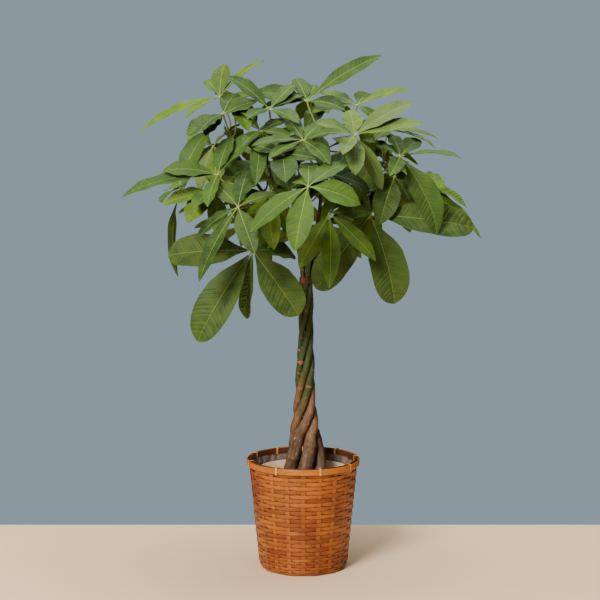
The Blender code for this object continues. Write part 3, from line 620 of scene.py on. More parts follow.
outerLow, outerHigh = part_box("rim_hoop_outer")
rimTop, rimLow, outerRadius = outerHigh.z, outerLow.z, outerHigh.x
seatRadius = topRadius + 0.0003
innerRadius, innerSeat = rim["inside"], rim["insideSeat"]
hoopLook = dict(stripLook, stretch=(11.0, 11.0, 520.0), cloudScale=14.0, dark=(0.42, 0.112, 0.012),
                light=(0.70, 0.235, 0.024), warm=(0.76, 0.29, 0.030), patches=0.42, edge=0.8, roughness=0.34,
                line=(0.17, 0.040, 0.008), lines=0.26)
innerHoopLook = dict(hoopLook, dark=(0.095, 0.024, 0.009), light=(0.19, 0.048, 0.014),
                     warm=(0.24, 0.065, 0.017), line=(0.05, 0.013, 0.006))
outerHoop = hoopMesh("outerHoop", [
    (seatRadius, rimLow, 0.0006), (outerRadius, rimLow, 0.0022), (outerRadius, rimTop, 0.0024),
    (seatRadius, rimTop, 0.0008)], bambooMaterial("rimBamboo", hoopLook), 0.3)
addPiece("rim_band_outer", outerHoop, "basket_rim", "rim_hoop_outer")
innerHoop = hoopMesh("innerHoop", [
    (innerRadius, rimLow, 0.0008), (innerSeat, rimLow, 0.0005), (innerSeat, rimTop, 0.0007),
    (innerRadius, rimTop, 0.0014)], bambooMaterial("rimBambooInside", innerHoopLook), 1.7)
addPiece("rim_band_inner", innerHoop, "basket_rim", "rim_hoop_inner")

ties = {
    "angles": (-149, -115, -73, -28, 17, 55, 98, 141, 180), "width": 0.0056, "thickness": 0.2,
    "clear": 0.0009, "below": 0.0006,    # how far the cane stands off the hoops
}
tieTurns = [math.radians(a - 90) for a in ties["angles"]]


def tieTree(material):
    # the looped strip, copied to each marked point
    tree, given, out = startTree("rimTies", [("Sides", "Int", 8), ("Flatness", "Float", 0.2)])
    spot, turn = named(tree, "spot", "turn")
    split = addNode(tree, "GeometryNodeSeparateGeometry", {"Geometry": given["Geometry"], "Selection": spot})
    path = addNode(tree, "GeometryNodeMeshToCurve", {0: split["Inverted"]})[0]
    strip = stripAlong(path, given["Sides"], given["Flatness"])
    copies = copiesAt(split["Selection"], strip, Rotation=triple(tree, z=turn))
    return finishTree(copies, out, material)


caneLook = dict(stripLook, stretch=(60.0, 60.0, 60.0), dark=(0.62, 0.25, 0.055), light=(0.86, 0.44, 0.125),
                warm=(0.83, 0.40, 0.11), patches=0.25, edge=0.5, line=(0.38, 0.13, 0.03))
tieIn, tieOut = innerRadius - ties["clear"], outerRadius + ties["clear"]
tieLow, tieHigh = rimLow - ties["below"], rimTop + ties["clear"]
tiePath = roundedPath([(tieIn, tieLow, 0.0008), (tieOut, tieLow, 0.0010),
                       (tieOut, tieHigh, 0.0022), (tieIn, tieHigh, 0.0018)], 4)
count = len(tiePath)
tiePoints = [(x, 0, z) for x, z in tiePath] + [(0, 0, 0)] * len(tieTurns)
tieMesh = pointMesh(
    "tiePath", tiePoints, [(i, (i + 1) % count) for i in range(count)],
    half=[ties["width"] / 2] * len(tiePoints), spot=[0.0] * count + [1.0] * len(tieTurns),
    turn=[0.0] * count + tieTurns, tint=[draw.random() for p in tiePoints])
bound = growPiece("rim_ties", tieMesh, tieTree(bambooMaterial("bindingCane", caneLook)),
                  {"Flatness": ties["thickness"]})
addPiece("rim_ties", bound, "rim_binding", *[f"rim_tie_{i + 1}" for i in range(len(tieTurns))])
print("rim bound:", len(tieTurns), "ties")


# Film liner, plastic pot and soil

liner = {
    "segments": 288, "thickness": 0.0004, "gap": 0.0051,    # gap: from the outside of the wall to the film
    "wrinkle": 0.0012, "waves": 14, "folds": 46, "lean": 0.0022, "looseFrom": 0.18, "looseOver": 0.065,
    "rise": 0.0042, "lift": 0.0010,     # how far its edge stands up against the inner hoop, and waves
    "hoopGap": 0.0006, "held": 0.010, "pinch": 0.045,
}
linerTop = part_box("basket_liner")[1].z + liner["rise"]


def tiePinch(angle):
    # 1 at a cane tie, which holds the film against the hoop, and 0 away from it
    near = min(abs(math.remainder(angle - turn, math.tau)) for turn in tieTurns)
    return math.exp(-(near / liner["pinch"]) ** 2)


def linerMesh(material):
    # a film sleeve against the wall, with its top rolled inwards in soft crumples
    shape = random.Random(3)
    waves = [(shape.randint(5, liner["folds"]), shape.uniform(0, math.tau), shape.uniform(0.3, 1))
             for i in range(liner["waves"])]
    levels = [0.0066, 0.02, 0.06, 0.12, 0.17]
    levels += [linerTop - below for below in (0.052, 0.036, 0.026, 0.019, 0.013, 0.008, 0.0045, 0.0012)]
    points = []
    for order, thickness in ((levels, 0), (reversed(levels), liner["thickness"])):
        for z in order:
            loose = min(1.0, max(0.0, (z - liner["looseFrom"]) / liner["looseOver"]))
            for a in around(liner["segments"]):
                crumple = sum(s * math.sin(n * a + p + 60 * z) for n, p, s in waves) / 3.0
                inward = liner["wrinkle"] * loose * (1 + crumple) + liner["lean"] * loose * loose
                r = topRadius - flare * (topHeight - z) - liner["gap"] - max(0.0, inward)
                if z > linerTop - liner["held"]:
                    held = innerRadius - liner["hoopGap"] + 0.2 * (linerTop - z)
                    r = min(r, held)
                    r += (held - r) * tiePinch(a)
                r -= thickness
                lift = liner["lift"] * math.sin(7 * a + 3) if z > linerTop - 0.005 else 0
                points.append((r * math.cos(a), r * math.sin(a), z + lift))
    faces = gridFaces(2 * len(levels), liner["segments"])
    closeEnds(points, faces, liner["segments"], (0, 0, levels[0]), (0, 0, levels[0] + liner["thickness"]))
    return makeMesh("filmLiner", points, faces, [material], sharpAngle=60)


film = plainMaterial("linerFilm", {
    "colour": (0.13, 0.088, 0.074), "second": (0.22, 0.155, 0.125), "cloudScale": 30.0, "grainScale": 160.0,
    "specks": 0.3, "speckColour": (0.33, 0.25, 0.21), "relief": 0.0012, "roughness": (0.12, 0.30),
    "specular": 0.7})
addPiece("film_liner", linerMesh(film), "liner_film", "basket_liner")

potLow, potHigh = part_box("inner_pot")
potShape = {"rim": potHigh.x, "neck": 0.1080, "base": 0.0890, "wall": 0.0025, "floor": 0.003, "lip": 0.014}
potRim, potNeck, potBase, potWall = [potShape[part] for part in ("rim", "neck", "base", "wall")]
# the outline as (radius, distance above the pot's foot), then (radius, distance below its top), then inside
potProfile = [(r, potLow.z + up) for r, up in (
    (0, 0), (potBase - 0.003, 0), (potBase - 0.0008, 0.0008), (potBase, 0.003))]
potProfile += [(r, potHigh.z - down) for r, down in (
    (potNeck, 0.0125), (potNeck + 0.0006, 0.0118), (potRim - 0.0008, 0.011), (potRim, 0.0095),
    (potRim, 0.0025), (potRim - 0.0004, 0.0008), (potRim - 0.0014, 0), (potRim - 0.0030, 0.0002),
    (potRim - 0.0040, 0.0012), (potNeck + 0.0006, 0.0095), (potNeck - potWall, potShape["lip"]))]
potProfile += [(r, potLow.z + up) for r, up in (
    (potBase - potWall, 0.004), (potBase - potWall - 0.001, potShape["floor"]), (0, potShape["floor"]))]
# partly the plastic's own cream, partly painted warm bounce light from the orange basket around it
plastic = plainMaterial("creamPlasticAndBounce", {
    "colour": (0.80, 0.60, 0.38), "second": (0.70, 0.51, 0.32), "cloudScale": 18.0, "grainScale": 240.0,
    "specks": 0.12, "speckColour": (0.36, 0.30, 0.20), "relief": 0.00015, "roughness": (0.32, 0.5)})
addPiece("plastic_pot", turnedMesh("plasticPot", potProfile, 160, plastic), "pot_plastic", "inner_pot")

soil = {"rings": 44, "segments": 144, "lump": 0.0055, "lumpScale": 42, "crumbs": 1500, "crumbSize": 0.0034}
soilLow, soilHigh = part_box("soil")


def soilEdge(z):
    # the radius of the soil at a height, just inside the pot
    low = potLow.z + potShape["floor"]
    f = (z - low) / (potHigh.z - potShape["lip"] - low)
    return potBase - potWall + (potNeck - potBase) * f - 0.0006


def soilHeight(x, y):
    lump = noise.fractal((x * soil["lumpScale"], y * soil["lumpScale"], 2.0), 1.0, 2.0, 4) * 0.5
    return soilHigh.z - soil["lump"] * (0.55 - 0.5 * lump)


def soilMesh(material):
    count = soil["segments"]
    points = [(0, 0, soilHeight(0, 0))]
    for i in range(1, soil["rings"] + 1):
        radius = soilEdge(soilHigh.z) * i / soil["rings"]
        points += [(x, y, soilHeight(x, y)) for x, y, z in circle(radius, 0, count)]
    for z in (soilHigh.z - 0.02, soilLow.z):
        points += circle(soilEdge(z), z, count)
    points.append((0, 0, soilLow.z))
    topEdge = 1 + (soil["rings"] - 1) * count
    last = topEdge + 2 * count
    faces = [(0, 1 + k, 1 + (k + 1) % count) for k in range(count)]
    faces += gridFaces(soil["rings"], count, start=1) + gridFaces(3, count, start=topEdge)
    faces += [(last + (k + 1) % count, len(points) - 1, last + k) for k in range(count)]
    faces = [tuple(reversed(face)) for face in faces]
    return makeMesh("pottingSoil", points, faces, [material], sharpAngle=70)


def crumbTree(material):
    tree, given, out = startTree("soilCrumbs", [
        ("Crumbs", "Float", 1000.0), ("Size", "Float", 0.003), ("Seed", "Int", 1)])
    up = partsOf(addNode(tree, "GeometryNodeInputNormal")[0])["Z"]
    spread = addNode(tree, "GeometryNodeDistributePointsOnFaces", {
        "Mesh": given["Geometry"], "Selection": calc("GREATER_THAN", up, 0.3), "Density": given["Crumbs"],
        "Seed": given["Seed"]})[0]
    ball = addNode(tree, "GeometryNodeMeshIcoSphere", {"Radius": 0.5, "Subdivisions": 1})[0]
    size = anyValue(tree, Min=(0.35, 0.35, 0.25), Max=(1.0, 1.0, 0.7), Seed=given["Seed"])
    scale = addNode(tree, "ShaderNodeVectorMath", {0: size, "Scale": given["Size"]}, operation="SCALE")[0]
    turn = anyValue(tree, Max=(6.2, 6.2, 6.2), Seed=given["Seed"])
    return finishTree(copiesAt(spread, ball, Scale=scale, Rotation=turn), out, material, smooth=False)


soilLook = {
    "colour": (0.030, 0.020, 0.013), "second": (0.060, 0.040, 0.026), "cloudScale": 60.0, "grainScale": 700.0,
    "specks": 0.5, "speckColour": (0.11, 0.075, 0.045), "relief": 0.0012, "roughness": (0.8, 0.98),
    "specular": 0.2}
mound = soilMesh(plainMaterial("pottingMix", soilLook))
addPiece("potting_mix", mound, "soil", "soil")
crumbMaterial = plainMaterial("mixCrumbs", dict(soilLook, second=(0.10, 0.065, 0.04), cloudScale=220.0))
area = math.pi * (soilEdge(soilHigh.z) + 0.0006) ** 2
crumbs = growPiece("soil_crumbs", mound.copy(), crumbTree(crumbMaterial), {
    "Crumbs": soil["crumbs"] / area, "Size": soil["crumbSize"], "Seed": 5})
addPiece("soil_crumbs", crumbs, "soil")
print("pot filled:", len(crumbs.polygons), "crumb faces")


# Braid: height, radius of the circle of trunk centres, trunk radius, drift of its middle along X
braidRows = (
    (0.140, 0.0368, 0.0162, 0.005), (0.200, 0.0374, 0.0176, 0.005), (0.250, 0.0362, 0.0182, 0.005),
    (0.290, 0.0310, 0.0161, 0.005), (0.330, 0.0254, 0.0130, 0.004), (0.365, 0.0218, 0.0108, 0.004),
    (0.400, 0.0184, 0.0094, 0.004), (0.430, 0.0164, 0.0087, 0.004), (0.500, 0.0151, 0.0081, 0.005),
    (0.550, 0.0124, 0.0066, 0.006), (0.650, 0.0116, 0.0062, 0.007), (0.718, 0.0106, 0.0056, 0.008),
)
# Twist: height, angle of trunk 1 from +X, seen from above
twistRows = ((0.140, 150.0), (0.250, 198.0), (0.330, 233.0), (0.400, 323.0), (0.718, 641.0))
# The trunks above the tie, in centimetres
branchPoints = (
    ((1.5, -1.7, 76), (2.8, -2.4, 82), (3.9, -2.6, 88), (4.2, -2.0, 96), (3.0, -1.2, 103), (1.6, -0.6, 108)),
    ((2.6, -0.3, 76), (4.8, 0.4, 82), (9.0, 1.6, 88), (14, 2.2, 93), (18.5, 2, 98), (20.5, 2, 102)),
    ((1.6, 1.8, 76), (1.6, 3.8, 82), (0.6, 7.5, 88), (-0.5, 11, 94), (-1.0, 13, 100), (0.0, 14, 106)),
    ((-0.5, 1.4, 76), (-2.4, 2.8, 82), (-7.0, 4.0, 88), (-12, 4.4, 95), (-16.5, 3, 102), (-19, 1.5, 108)),
    ((-0.7, -1.0, 76), (-1.6, -2.8, 81), (-3.6, -5.8, 87), (-6.0, -8.4, 92), (-8, -9, 98), (-9, -8, 103)),
)
trunks = {
    # heights of the points on each centre line, and the even step that follows them up the braid
    "heights": (0.140, 0.200, 0.240, 0.275, 0.305, 0.330, 0.350, 0.368, 0.386, 0.404),
    "heightStep": 0.0245, "stopAfter": 0.70,
    "step": 0.0026, "sides": 26, "topRadius": 0.0056, "taper": 0.0026, "topCap": 0.0012,
    "lump": 0.10, "lumpScale": 42.0,        # soft swellings, as a share of the radius
    "ridge": 0.035, "ridgeScale": 70.0,     # fine bark ridges
    "nodeEvery": 0.047, "nodeSwell": 0.07, "nodeWidth": 0.0035,     # the rings where leaves once stood
    "smoothFrom": 0.42, "smoothShare": 0.55,
    "greenDelay": (0.035, 0.0, 0.03, 0.05, 0.0),    # how much higher than greenFrom each one turns green
    "trunkShade": (0.0, 0.10, 0.35, 0.0, 0.0),             # painted shade: how much darker the bark of each one is painted, for the trunks seen in shade
}


def rowsAt(rows, z):
    for a, b in zip(rows, rows[1:]):
        if z <= b[0]:
            f = max(0.0, (z - a[0]) / (b[0] - a[0]))
            return [p + (q - p) * f for p, q in zip(a[1:], b[1:])]
    return list(rows[-1][1:])


def braidPoint(number, z):
    ring, radius, drift = rowsAt(braidRows, z)
    angle = math.radians(rowsAt(twistRows, z)[0] + 72 * number)
    return Vector((drift + ring * math.cos(angle), ring * math.sin(angle), z)), radius


def catmull(p0, p1, p2, p3, t):
    a = 2 * p1
    b = p2 - p0
    c = 2 * p0 - 5 * p1 + 4 * p2 - p3
    d = 3 * p1 - p0 - 3 * p2 + p3
    return 0.5 * (a + b * t + c * t * t + d * t * t * t)


def trunkPath(number):
    # centre line and radii of one trunk, from its foot in the soil to its top
    heights = list(trunks["heights"])
    while heights[-1] < trunks["stopAfter"]:
        heights.append(heights[-1] + trunks["heightStep"])
    heights[-1] = braidRows[-1][0]
    path = [braidPoint(number, z) for z in heights]
    free = [path[-2][0], path[-1][0]] + [Vector(p) * 0.01 for p in branchPoints[number]]
    free.append(2 * free[-1] - free[-2])
    count = len(free) - 3
    for i in range(count):
        for step in (0.5, 1.0):
            thinner = trunks["taper"] * (i + step) / count
            path.append((catmull(*free[i:i + 4], step), trunks["topRadius"] - thinner))
    return path


def smoothPath(path):
    # the same line through every point, in fine steps
    points = [p for p, r in path]
    ends = [2 * points[0] - points[1]] + points + [2 * points[-1] - points[-2]]
    fine = []
    for i, ((p, r), (q, s)) in enumerate(zip(path, path[1:])):
        steps = max(1, round((q - p).length / trunks["step"]))
        for t in (step / steps for step in range(steps)):
            fine.append((catmull(*ends[i:i + 4], t), r + (s - r) * (t * t * (3 - 2 * t))))
    return fine + [path[-1]]


def trunkMesh(number, material):
    path = smoothPath(trunkPaths[number])
    points = [p for p, r in path]
    verts, travelled = [], 0.0
    values = {name: [] for name in ("aside", "across", "along")}
    shift = Vector((number * 3.7, number * 1.9, 0))
    for i, ((p, r), (side, up)) in enumerate(zip(path, turnedFrames(points))):
        travelled += (p - points[i - 1]).length if i else 0
        ringing = math.remainder(travelled / trunks["nodeEvery"] + number * 0.37, 1.0)
        node = math.exp(-(ringing * trunks["nodeEvery"] / trunks["nodeWidth"]) ** 2)
        rough = 1.0 if p.z < trunks["smoothFrom"] else trunks["smoothShare"]
        tip = 0.55 + 0.45 * math.sqrt(min(1.0, (len(path) - 1 - i) / 3.0))
        for a in around(trunks["sides"]):
            out = spoke(side, up, a)
            here = p + out * r
            lump = noise.noise(here * trunks["lumpScale"] + shift) * trunks["lump"]
            stretched = Vector((here.x * 3, here.y * 3, here.z * 0.5)) * trunks["ridgeScale"] + shift
            ridge = noise.noise(stretched) * trunks["ridge"] * 2
            grow = 1 + rough * (lump + ridge) + trunks["nodeSwell"] * node
            verts.append(p + out * (r * grow * tip))
            for store, value in zip(values.values(), (r * math.cos(a), r * math.sin(a), travelled)):
                store.append(value)
    faces = gridFaces(len(path), trunks["sides"])
    top = points[-1] + (points[-1] - points[-2]).normalized() * trunks["topCap"]
    closeEnds(verts, faces, trunks["sides"], points[0], top)
    for name in values:
        values[name] += [0.0, travelled if name == "along" else 0.0]
    # each trunk's tint, green delay and painted shade
    for name, value in (("tint", number * 5.3), ("late", trunks["greenDelay"][number]),
                        ("trunkShade", trunks["trunkShade"][number])):
        values[name] = [value] * len(verts)
    return makeMesh(f"trunk{number + 1}", verts, faces, [material], values, None, 75)


barkLook = {
    "brown": (0.058, 0.027, 0.012), "grey": (0.168, 0.092, 0.044), "tan": (0.27, 0.125, 0.060),
    "fleck": (0.52, 0.37, 0.24), "green": (0.023, 0.046, 0.008), "olive": (0.044, 0.060, 0.012),
    "scar": (0.27, 0.125, 0.060), "rust": (0.23, 0.082, 0.026), "deep": (0.030, 0.015, 0.008),
    "greenFrom": 0.390, "streaks": (130.0, 130.0, 18.0), "patches": (75.0, 75.0, 20.0),
    "rings": (34.0, 34.0, 85.0), "tanShare": 0.35, "flecks": 0.60, "stains": 0.45,
    "cloudScale": 26.0, "grainScale": 360.0, "specular": 0.38, "roughness": (0.5, 0.75), "relief": 0.0009,
    "bump": 0.7,
}
trunkPaths = [trunkPath(number) for number in range(5)]
bark = barkMaterial(barkLook)
for number in range(5):
    addPiece(f"trunk_{number + 1}", trunkMesh(number, bark), "bark", f"stem_{number + 1}")

tieBand = {"segments": 96, "thickness": 0.0012, "gap": 0.0004, "rows": 7, "crease": 0.00025,
           "redPart": (220, 255)}       # the tape's red end, in degrees round the trunks


def bandMesh(materials):
    # tape drawn tight round the five trunks
    low, high = [corner.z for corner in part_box("braid_tie")]
    circles = [braidPoint(number, 0.5 * (low + high)) for number in range(5)]
    centre = sum((c for c, r in circles), Vector()) / 5
    outline = []
    for a in around(tieBand["segments"]):
        ahead = Vector((math.cos(a), math.sin(a), 0))
        outline.append((a, ahead, max((c - centre).dot(ahead) + r for c, r in circles)))
    section = []
    for i in range(tieBand["rows"]):
        t = i / (tieBand["rows"] - 1)
        section.append((tieBand["thickness"] * (0.7 + 0.3 * math.sin(math.pi * t)), low + (high - low) * t))
    points = []
    for grow, z in section + [(0.0, high), (0.0, low)]:
        for a, ahead, reach in outline:
            crease = tieBand["crease"] * math.sin(5 * a + 400 * z) if grow else 0
            out = ahead * (reach + tieBand["gap"] + grow + crease)
            points.append(centre + out + Vector((0, 0, z - centre.z)))
    faces = gridFaces(len(section) + 2, tieBand["segments"], wrapRows=True)
    start, end = tieBand["redPart"]
    places = [(i % tieBand["segments"]) * 360 / tieBand["segments"] for i in range(len(faces))]
    red = [int(start <= place < end) for place in places]
    return makeMesh("tieBand", points, faces, materials, None, red)


tapeLook = {
    "colour": (0.050, 0.026, 0.011), "second": (0.028, 0.024, 0.009), "cloudScale": 90.0, "grainScale": 500.0,
    "specks": 0.3, "speckColour": (0.10, 0.045, 0.02), "relief": 0.0003, "roughness": (0.5, 0.7),
    "specular": 0.3}
redLook = dict(tapeLook, colour=(0.20, 0.034, 0.022), second=(0.13, 0.022, 0.015),
               speckColour=(0.28, 0.08, 0.05))
band = bandMesh([plainMaterial("tieTape", tapeLook), plainMaterial("tieTapeEnd", redLook)])
addPiece("tie_tape", band, "tie_band", "braid_tie")
print("trunks braided")


# Leaves, in centimetres: middle of the hub, the way the leaf faces, its trunk, the height where
# it leaves the trunk, then each leaflet: offset of its tip, greatest width, roll in degrees if any
leafTable = (
    ((1, -27, 95), (0, -5, 8), 1, 92, ((-3, -6, -14, 6.0), (-13, -2, -10, 5.8), (12, 2, -4, 6.4, 20),
        (9, 9, 5, 4.8), (0, 12, 5, 4.6), (-5, 10, 1, 4.4))),
    ((6, -14, 88), (1, -8, 5), 1, 85, ((0, -3, -17, 4.4), (11, 0, -11, 4.2), (-7, 2, -13, 4.6),
        (3, 10, 5, 4.0), (10, 8, 0, 4.2))),
    ((-15, -20, 90), (-2, -5, 8), 5, 92, ((-9, -3, -17, 4.5), (-10, 3, -8, 4.6), (4, -8, -10, 5.0),
        (9, 1, 3, 3.8), (2, 8, 8, 4.6), (-6, 9, 5, 5.0))),
    ((-12, -10, 79), (-1, -8, 6), 5, 83, ((-20, 0, -1, 9.0), (-13, -4, -21, 9.2), (-2, 5, -17, 6.0, 40),
        (11, -3, -15, 8.8), (11, 9, 0, 6.0))),
    ((12, -8, 106), (1, -6, 8), 1, 100, ((-1, 5, 6, 5.0), (14, 3, 8, 5.2), (16, -1, 4, 4.4),
        (-9, -6, 3, 4.8), (-3, -11, -4, 3.8), (0, -7, -9, 4.6), (7, 3, -13, 3.6, 40))),
    ((0, -14, 105), (-1, -5, 9), 1, 98, ((6, -8, -5, 4.4), (9, -5, 2, 3.8), (5, 8, 4, 3.6), (-4, 9, 5, 3.8),
        (-12, -4, -1, 3.6), (-8, -7, -3, 3.6))),
    ((-5, -16, 102), (0, -8, 6), 5, 99, ((1, -9, -6, 6.2), (-8, 5, 2, 3.6), (8, -4, -1, 3.4),
        (-3, 10, 5, 3.8), (5, 9, 4, 3.6))),
    ((16, -5, 87), (1, -8, 6), 2, 85, ((6, -2, -21, 9.4), (25, 2, -3, 9.2), (-10, 9, 5, 7.0),
        (-13, 2, -18, 8.4), (4, 11, 5, 5.0))),
    ((23, -4, 101), (3, -4, 9), 2, 97, ((9, -5, -18, 7.6, 20), (14, -8, 0, 3.8), (5, 8, 4, 4.4),
        (-2, 7, 6, 4.4), (-3, -12, -4, 3.8), (-9, 3, 4, 3.6))),
    ((-20, -12, 97), (-3, -4, 9), 5, 96, ((-13, 0, 1, 5.0, -20), (-23, 0, -5, 4.6, -10), (10, 6, 10, 6.8),
        (3, 6, 9, 5.0), (-2, -8, -7, 3.8))),
    ((1, 0, 114), (0, -3, 9), 1, 107, ((18, 2, 11, 3.9, 40), (2, 6, 4, 3.0), (-3, 7, 5, 4.4),
        (-13, 2, 2, 5.2, -30), (9, -4, -2, 4.4, 25), (-9, -3, -1, 3.2))),
    ((-20, 0, 115), (-2, -3, 9), 4, 107, ((1, 5, 8, 4.8), (-19, 0, -8, 4.8, -5), (-8, -6, -5, 3.4),
        (11, 4, 9, 3.4), (-4, 11, 4, 3.4))),
    ((-19, -6, 111), (-2, -6, 8), 4, 103, ((-8, -7, -5, 5.4), (-5, -10, -4, 4.4), (-4, -5, -5, 4.0),
        (8, 2, 3, 5.2), (2, 9, 5, 4.4))),
    ((-21, -8, 93), (-2, -6, 7), 4, 90, ((-6, -7, -7, 6.2), (-4, -10, -3, 5.0), (-12, -3, -3, 4.8),
        (0, 9, 7, 4.8), (5, 8, 3, 4.4), (2, -4, -11, 4.8))),
    ((13, 4, 113), (1, -4, 8), 1, 105, ((3, 7, 3, 4.6), (13, 2, 4, 3.6), (-9, 3, 3, 4.4), (-12, -4, 0, 4.0),
        (6, -3, -5, 3.8))),
    ((-8, -4, 112), (0, -4, 9), 5, 102, ((-10, 0, 8, 4.8, -10), (6, 6, 6, 4.2), (7, -8, -3, 4.4),
        (-5, -9, -2, 4.0), (8, 5, 2, 4.0))),
    ((22, 0, 96), (2, -5, 8), 2, 93, ((-4, -8, -11, 6.4), (2, 11, 4, 4.6), (4, 0, -7, 4.0),
        (-7, 5, -2, 4.8))),
    ((26, 12, 95), (3, -4, 8), 2, 91, ((9, -4, -2, 6.0, 15), (15, 0, -7, 4.6), (19, -4, -13, 4.8),
        (-2, 5, -10, 5.0), (-4, 10, 5, 4.4))),
    ((-10, -8, 107), (0, -5, 9), 5, 101, ((-1, -9, -12, 4.0), (-4, -8, -3, 3.2), (-6, 8, 3, 3.4),
        (5, 6, 3, 3.6), (7, -4, -2, 3.6))),
    ((-30, 5, 93), (-5, -2, 8), 4, 94, ((-1, 0, -22, 3.8, 50), (7, 2, 14, 5.4, 45), (-4, -8, -3, 4.2),
        (2, -11, 1, 4.0), (-4, 9, -1, 4.0))),
    ((-17, -1, 114), (0, -6, 8), 4, 105, ((6, -8, -3, 3.8), (4, -5, -8, 4.4), (-4, 9, 2, 3.4),
        (5, 8, 3, 3.6))),
    ((21, 6, 107), (4, -2, 9), 2, 100, ((12, 2, -2, 3.6), (11, -4, -4, 3.4), (2, 9, 2, 3.8), (-6, 7, 2, 4.4),
        (-4, -10, -2, 3.4))),
    ((-8, -3, 92), (-2, -4, 8), 5, 89, ((-12, 2, -4, 5.2), (-7, -6, -12, 5.0), (9, -3, -10, 5.2),
        (1, -5, -13, 5.2), (9, 8, 1, 4.8), (-3, 13, 3, 4.8))),
    ((12, 7, 93), (1, -4, 8), 2, 89, ((-10, 2, -10, 5.2), (4, -4, -14, 5.2), (13, 4, -3, 5.2),
        (4, 13, 3, 4.8), (-11, 9, 2, 4.8))),
    ((-2, 28, 97), (0, 5, 8), 3, 94, ((-15, 3, -6, 5.2), (-5, 13, -11, 5.4), (8, 12, -10, 5.4),
        (15, 2, -3, 5.2), (4, -11, 5, 4.8), (-9, -9, 4, 4.8))),
    ((-17, 20, 91), (-3, 4, 8), 3, 90, ((-13, -2, -2, 4.8), (-11, 11, -7, 5.2), (2, 14, -10, 5.2),
        (11, 5, -5, 4.8), (-2, -12, 4, 4.8))),
    ((18, 21, 92), (3, 4, 8), 3, 97, ((14, 1, -6, 5.0), (9, 12, -8, 5.2), (-4, 13, -11, 5.2),
        (-12, 3, -6, 4.8), (2, -12, 4, 4.8))),
    ((2, 17, 114), (0, 2, 9), 3, 105, ((-13, 6, -2, 4.4), (-3, 15, -5, 4.6), (11, 10, -4, 4.6),
        (12, -4, -1, 4.4), (-7, -9, 1, 4.4), (4, -10, -3, 4.4))),
    ((-15, 13, 104), (-2, 3, 9), 3, 101, ((-14, -3, -5, 4.4), (-11, 11, -6, 4.8), (3, 14, -7, 4.8),
        (11, 3, -3, 4.6), (-3, -11, 2, 4.6))),
    ((15, 16, 104), (2, 3, 9), 3, 103, ((14, 2, -6, 4.6), (8, 13, -7, 4.8), (-6, 13, -7, 4.6),
        (-10, -4, -2, 4.6), (4, -11, 2, 4.8))),
    ((4, 19, 83), (0, 6, 7), 3, 85, ((-13, 3, -6, 5.4), (-3, 8, -13, 5.6), (11, 6, -9, 5.4),
        (14, -3, 1, 5.0), (-5, -8, 5, 4.6))),
    ((-14, 11, 84), (-5, 4, 7), 4, 86, ((-13, -3, -1, 5.0), (-8, 9, -8, 5.2), (6, 9, -11, 5.2),
        (8, -8, -3, 5.0), (-3, -6, 9, 4.6))),
    ((19, 13, 86), (4, 4, 7), 2, 87, ((11, -5, -1, 5.0), (9, 11, -3, 5.2), (-5, 11, -10, 5.2),
        (-10, -4, -6, 5.0), (2, -6, 10, 4.8))),
    ((-22, 10, 89), (-5, 2, 7), 4, 91, ((-9, -7, 0, 4.8), (-9, 7, -3, 5.0), (2, 12, -8, 5.0), (9, 8, 4, 4.6),
        (2, -7, 8, 4.8))),
    ((6, -7, 97), (1, -5, 8), 1, 93, ((-9, -2, -3, 5.2), (-4, -5, -10, 5.6), (5, -3, -11, 5.4),
        (10, 2, -4, 5.2), (5, 9, 5, 4.8), (-5, 8, 5, 4.8))),
    ((-10, 4, 100), (-1, -4, 8), 4, 92, ((-12, 0, -4, 5.4), (-4, -8, -9, 5.4), (7, -6, -8, 5.4),
        (10, 5, 2, 5.0), (2, 4, 9, 5.0), (-8, 6, 5, 4.8))),
    ((17, 5, 100), (1, -4, 8), 2, 94, ((-11, 2, -6, 5.4), (-2, -7, -12, 5.6), (9, -4, -8, 5.0),
        (-4, 1, 10, 5.2), (-10, 2, 5, 5.0), (5, 10, 2, 4.8))),
    ((0, 8, 107), (0, -4, 8), 3, 101, ((-12, 1, -4, 5.2), (-4, -9, -8, 5.2), (6, -8, -7, 5.2),
        (11, -3, 0, 5.2), (5, 3, 7, 5.0), (-7, 5, 5, 4.8))),
    ((-22, 7, 103), (-3, -3, 8), 4, 100, ((-11, -3, -9, 5.0), (-4, -8, -9, 5.2), (7, -5, -8, 5.0),
        (8, 6, 4, 4.8), (-7, 10, 2, 4.6))),
)
leafShape = {
    # place along a leaflet and share of its half-width: outline, and a plain one for the crossing test
    "outline": ((0.0, 0.03), (0.055, 0.06), (0.10, 0.17), (0.20, 0.46), (0.32, 0.80), (0.43, 0.97),
                (0.54, 1.0), (0.66, 0.95), (0.77, 0.81), (0.86, 0.60), (0.93, 0.36), (0.975, 0.14),
                (1.0, 0.0)),
    "bluntOutline": ((0.0, 0.03), (0.055, 0.05), (0.10, 0.13), (0.20, 0.36), (0.32, 0.70), (0.46, 0.95),
                     (0.60, 1.0), (0.72, 0.98), (0.82, 0.90), (0.90, 0.74), (0.955, 0.50), (0.985, 0.25),
                     (1.0, 0.0)),
    "stations": ((0.10, 0.10), (0.40, 0.97), (0.77, 0.80)),
    "bluntStations": ((0.10, 0.08), (0.46, 0.98), (0.86, 0.74)),
    "blunt": (4, 8),            # the big old leaves stay broad up to the end
    "fold": 0.16, "arch": 0.065, "rollBy": 0.4, "shellThickness": 0.0011,
    "columns": 14, "rowsPerVein": 3, "quiltedRowsPerVein": 5, "veinEvery": 0.0105, "veinSweep": 0.85,
    "thickness": 0.0006, "ribHeight": 0.0010, "ribHalf": 0.0012, "groove": 0.0004,
    # place along a leaflet and radius of its own short stalk
    "shortStalk": ((0.0, 0.0016), (0.02, 0.0015), (0.045, 0.0013), (0.07, 0.0012), (0.10, 0.0007)),
    "pleats": (0.35, 1.3), "waves": (2.0, 4.5), "droop": 0.035, "bow": 0.014,
    "quilt": 0.00028, "wave": 0.0013, "start": 0.05, "firstVein": 0.10, "lastVein": 0.965,
}
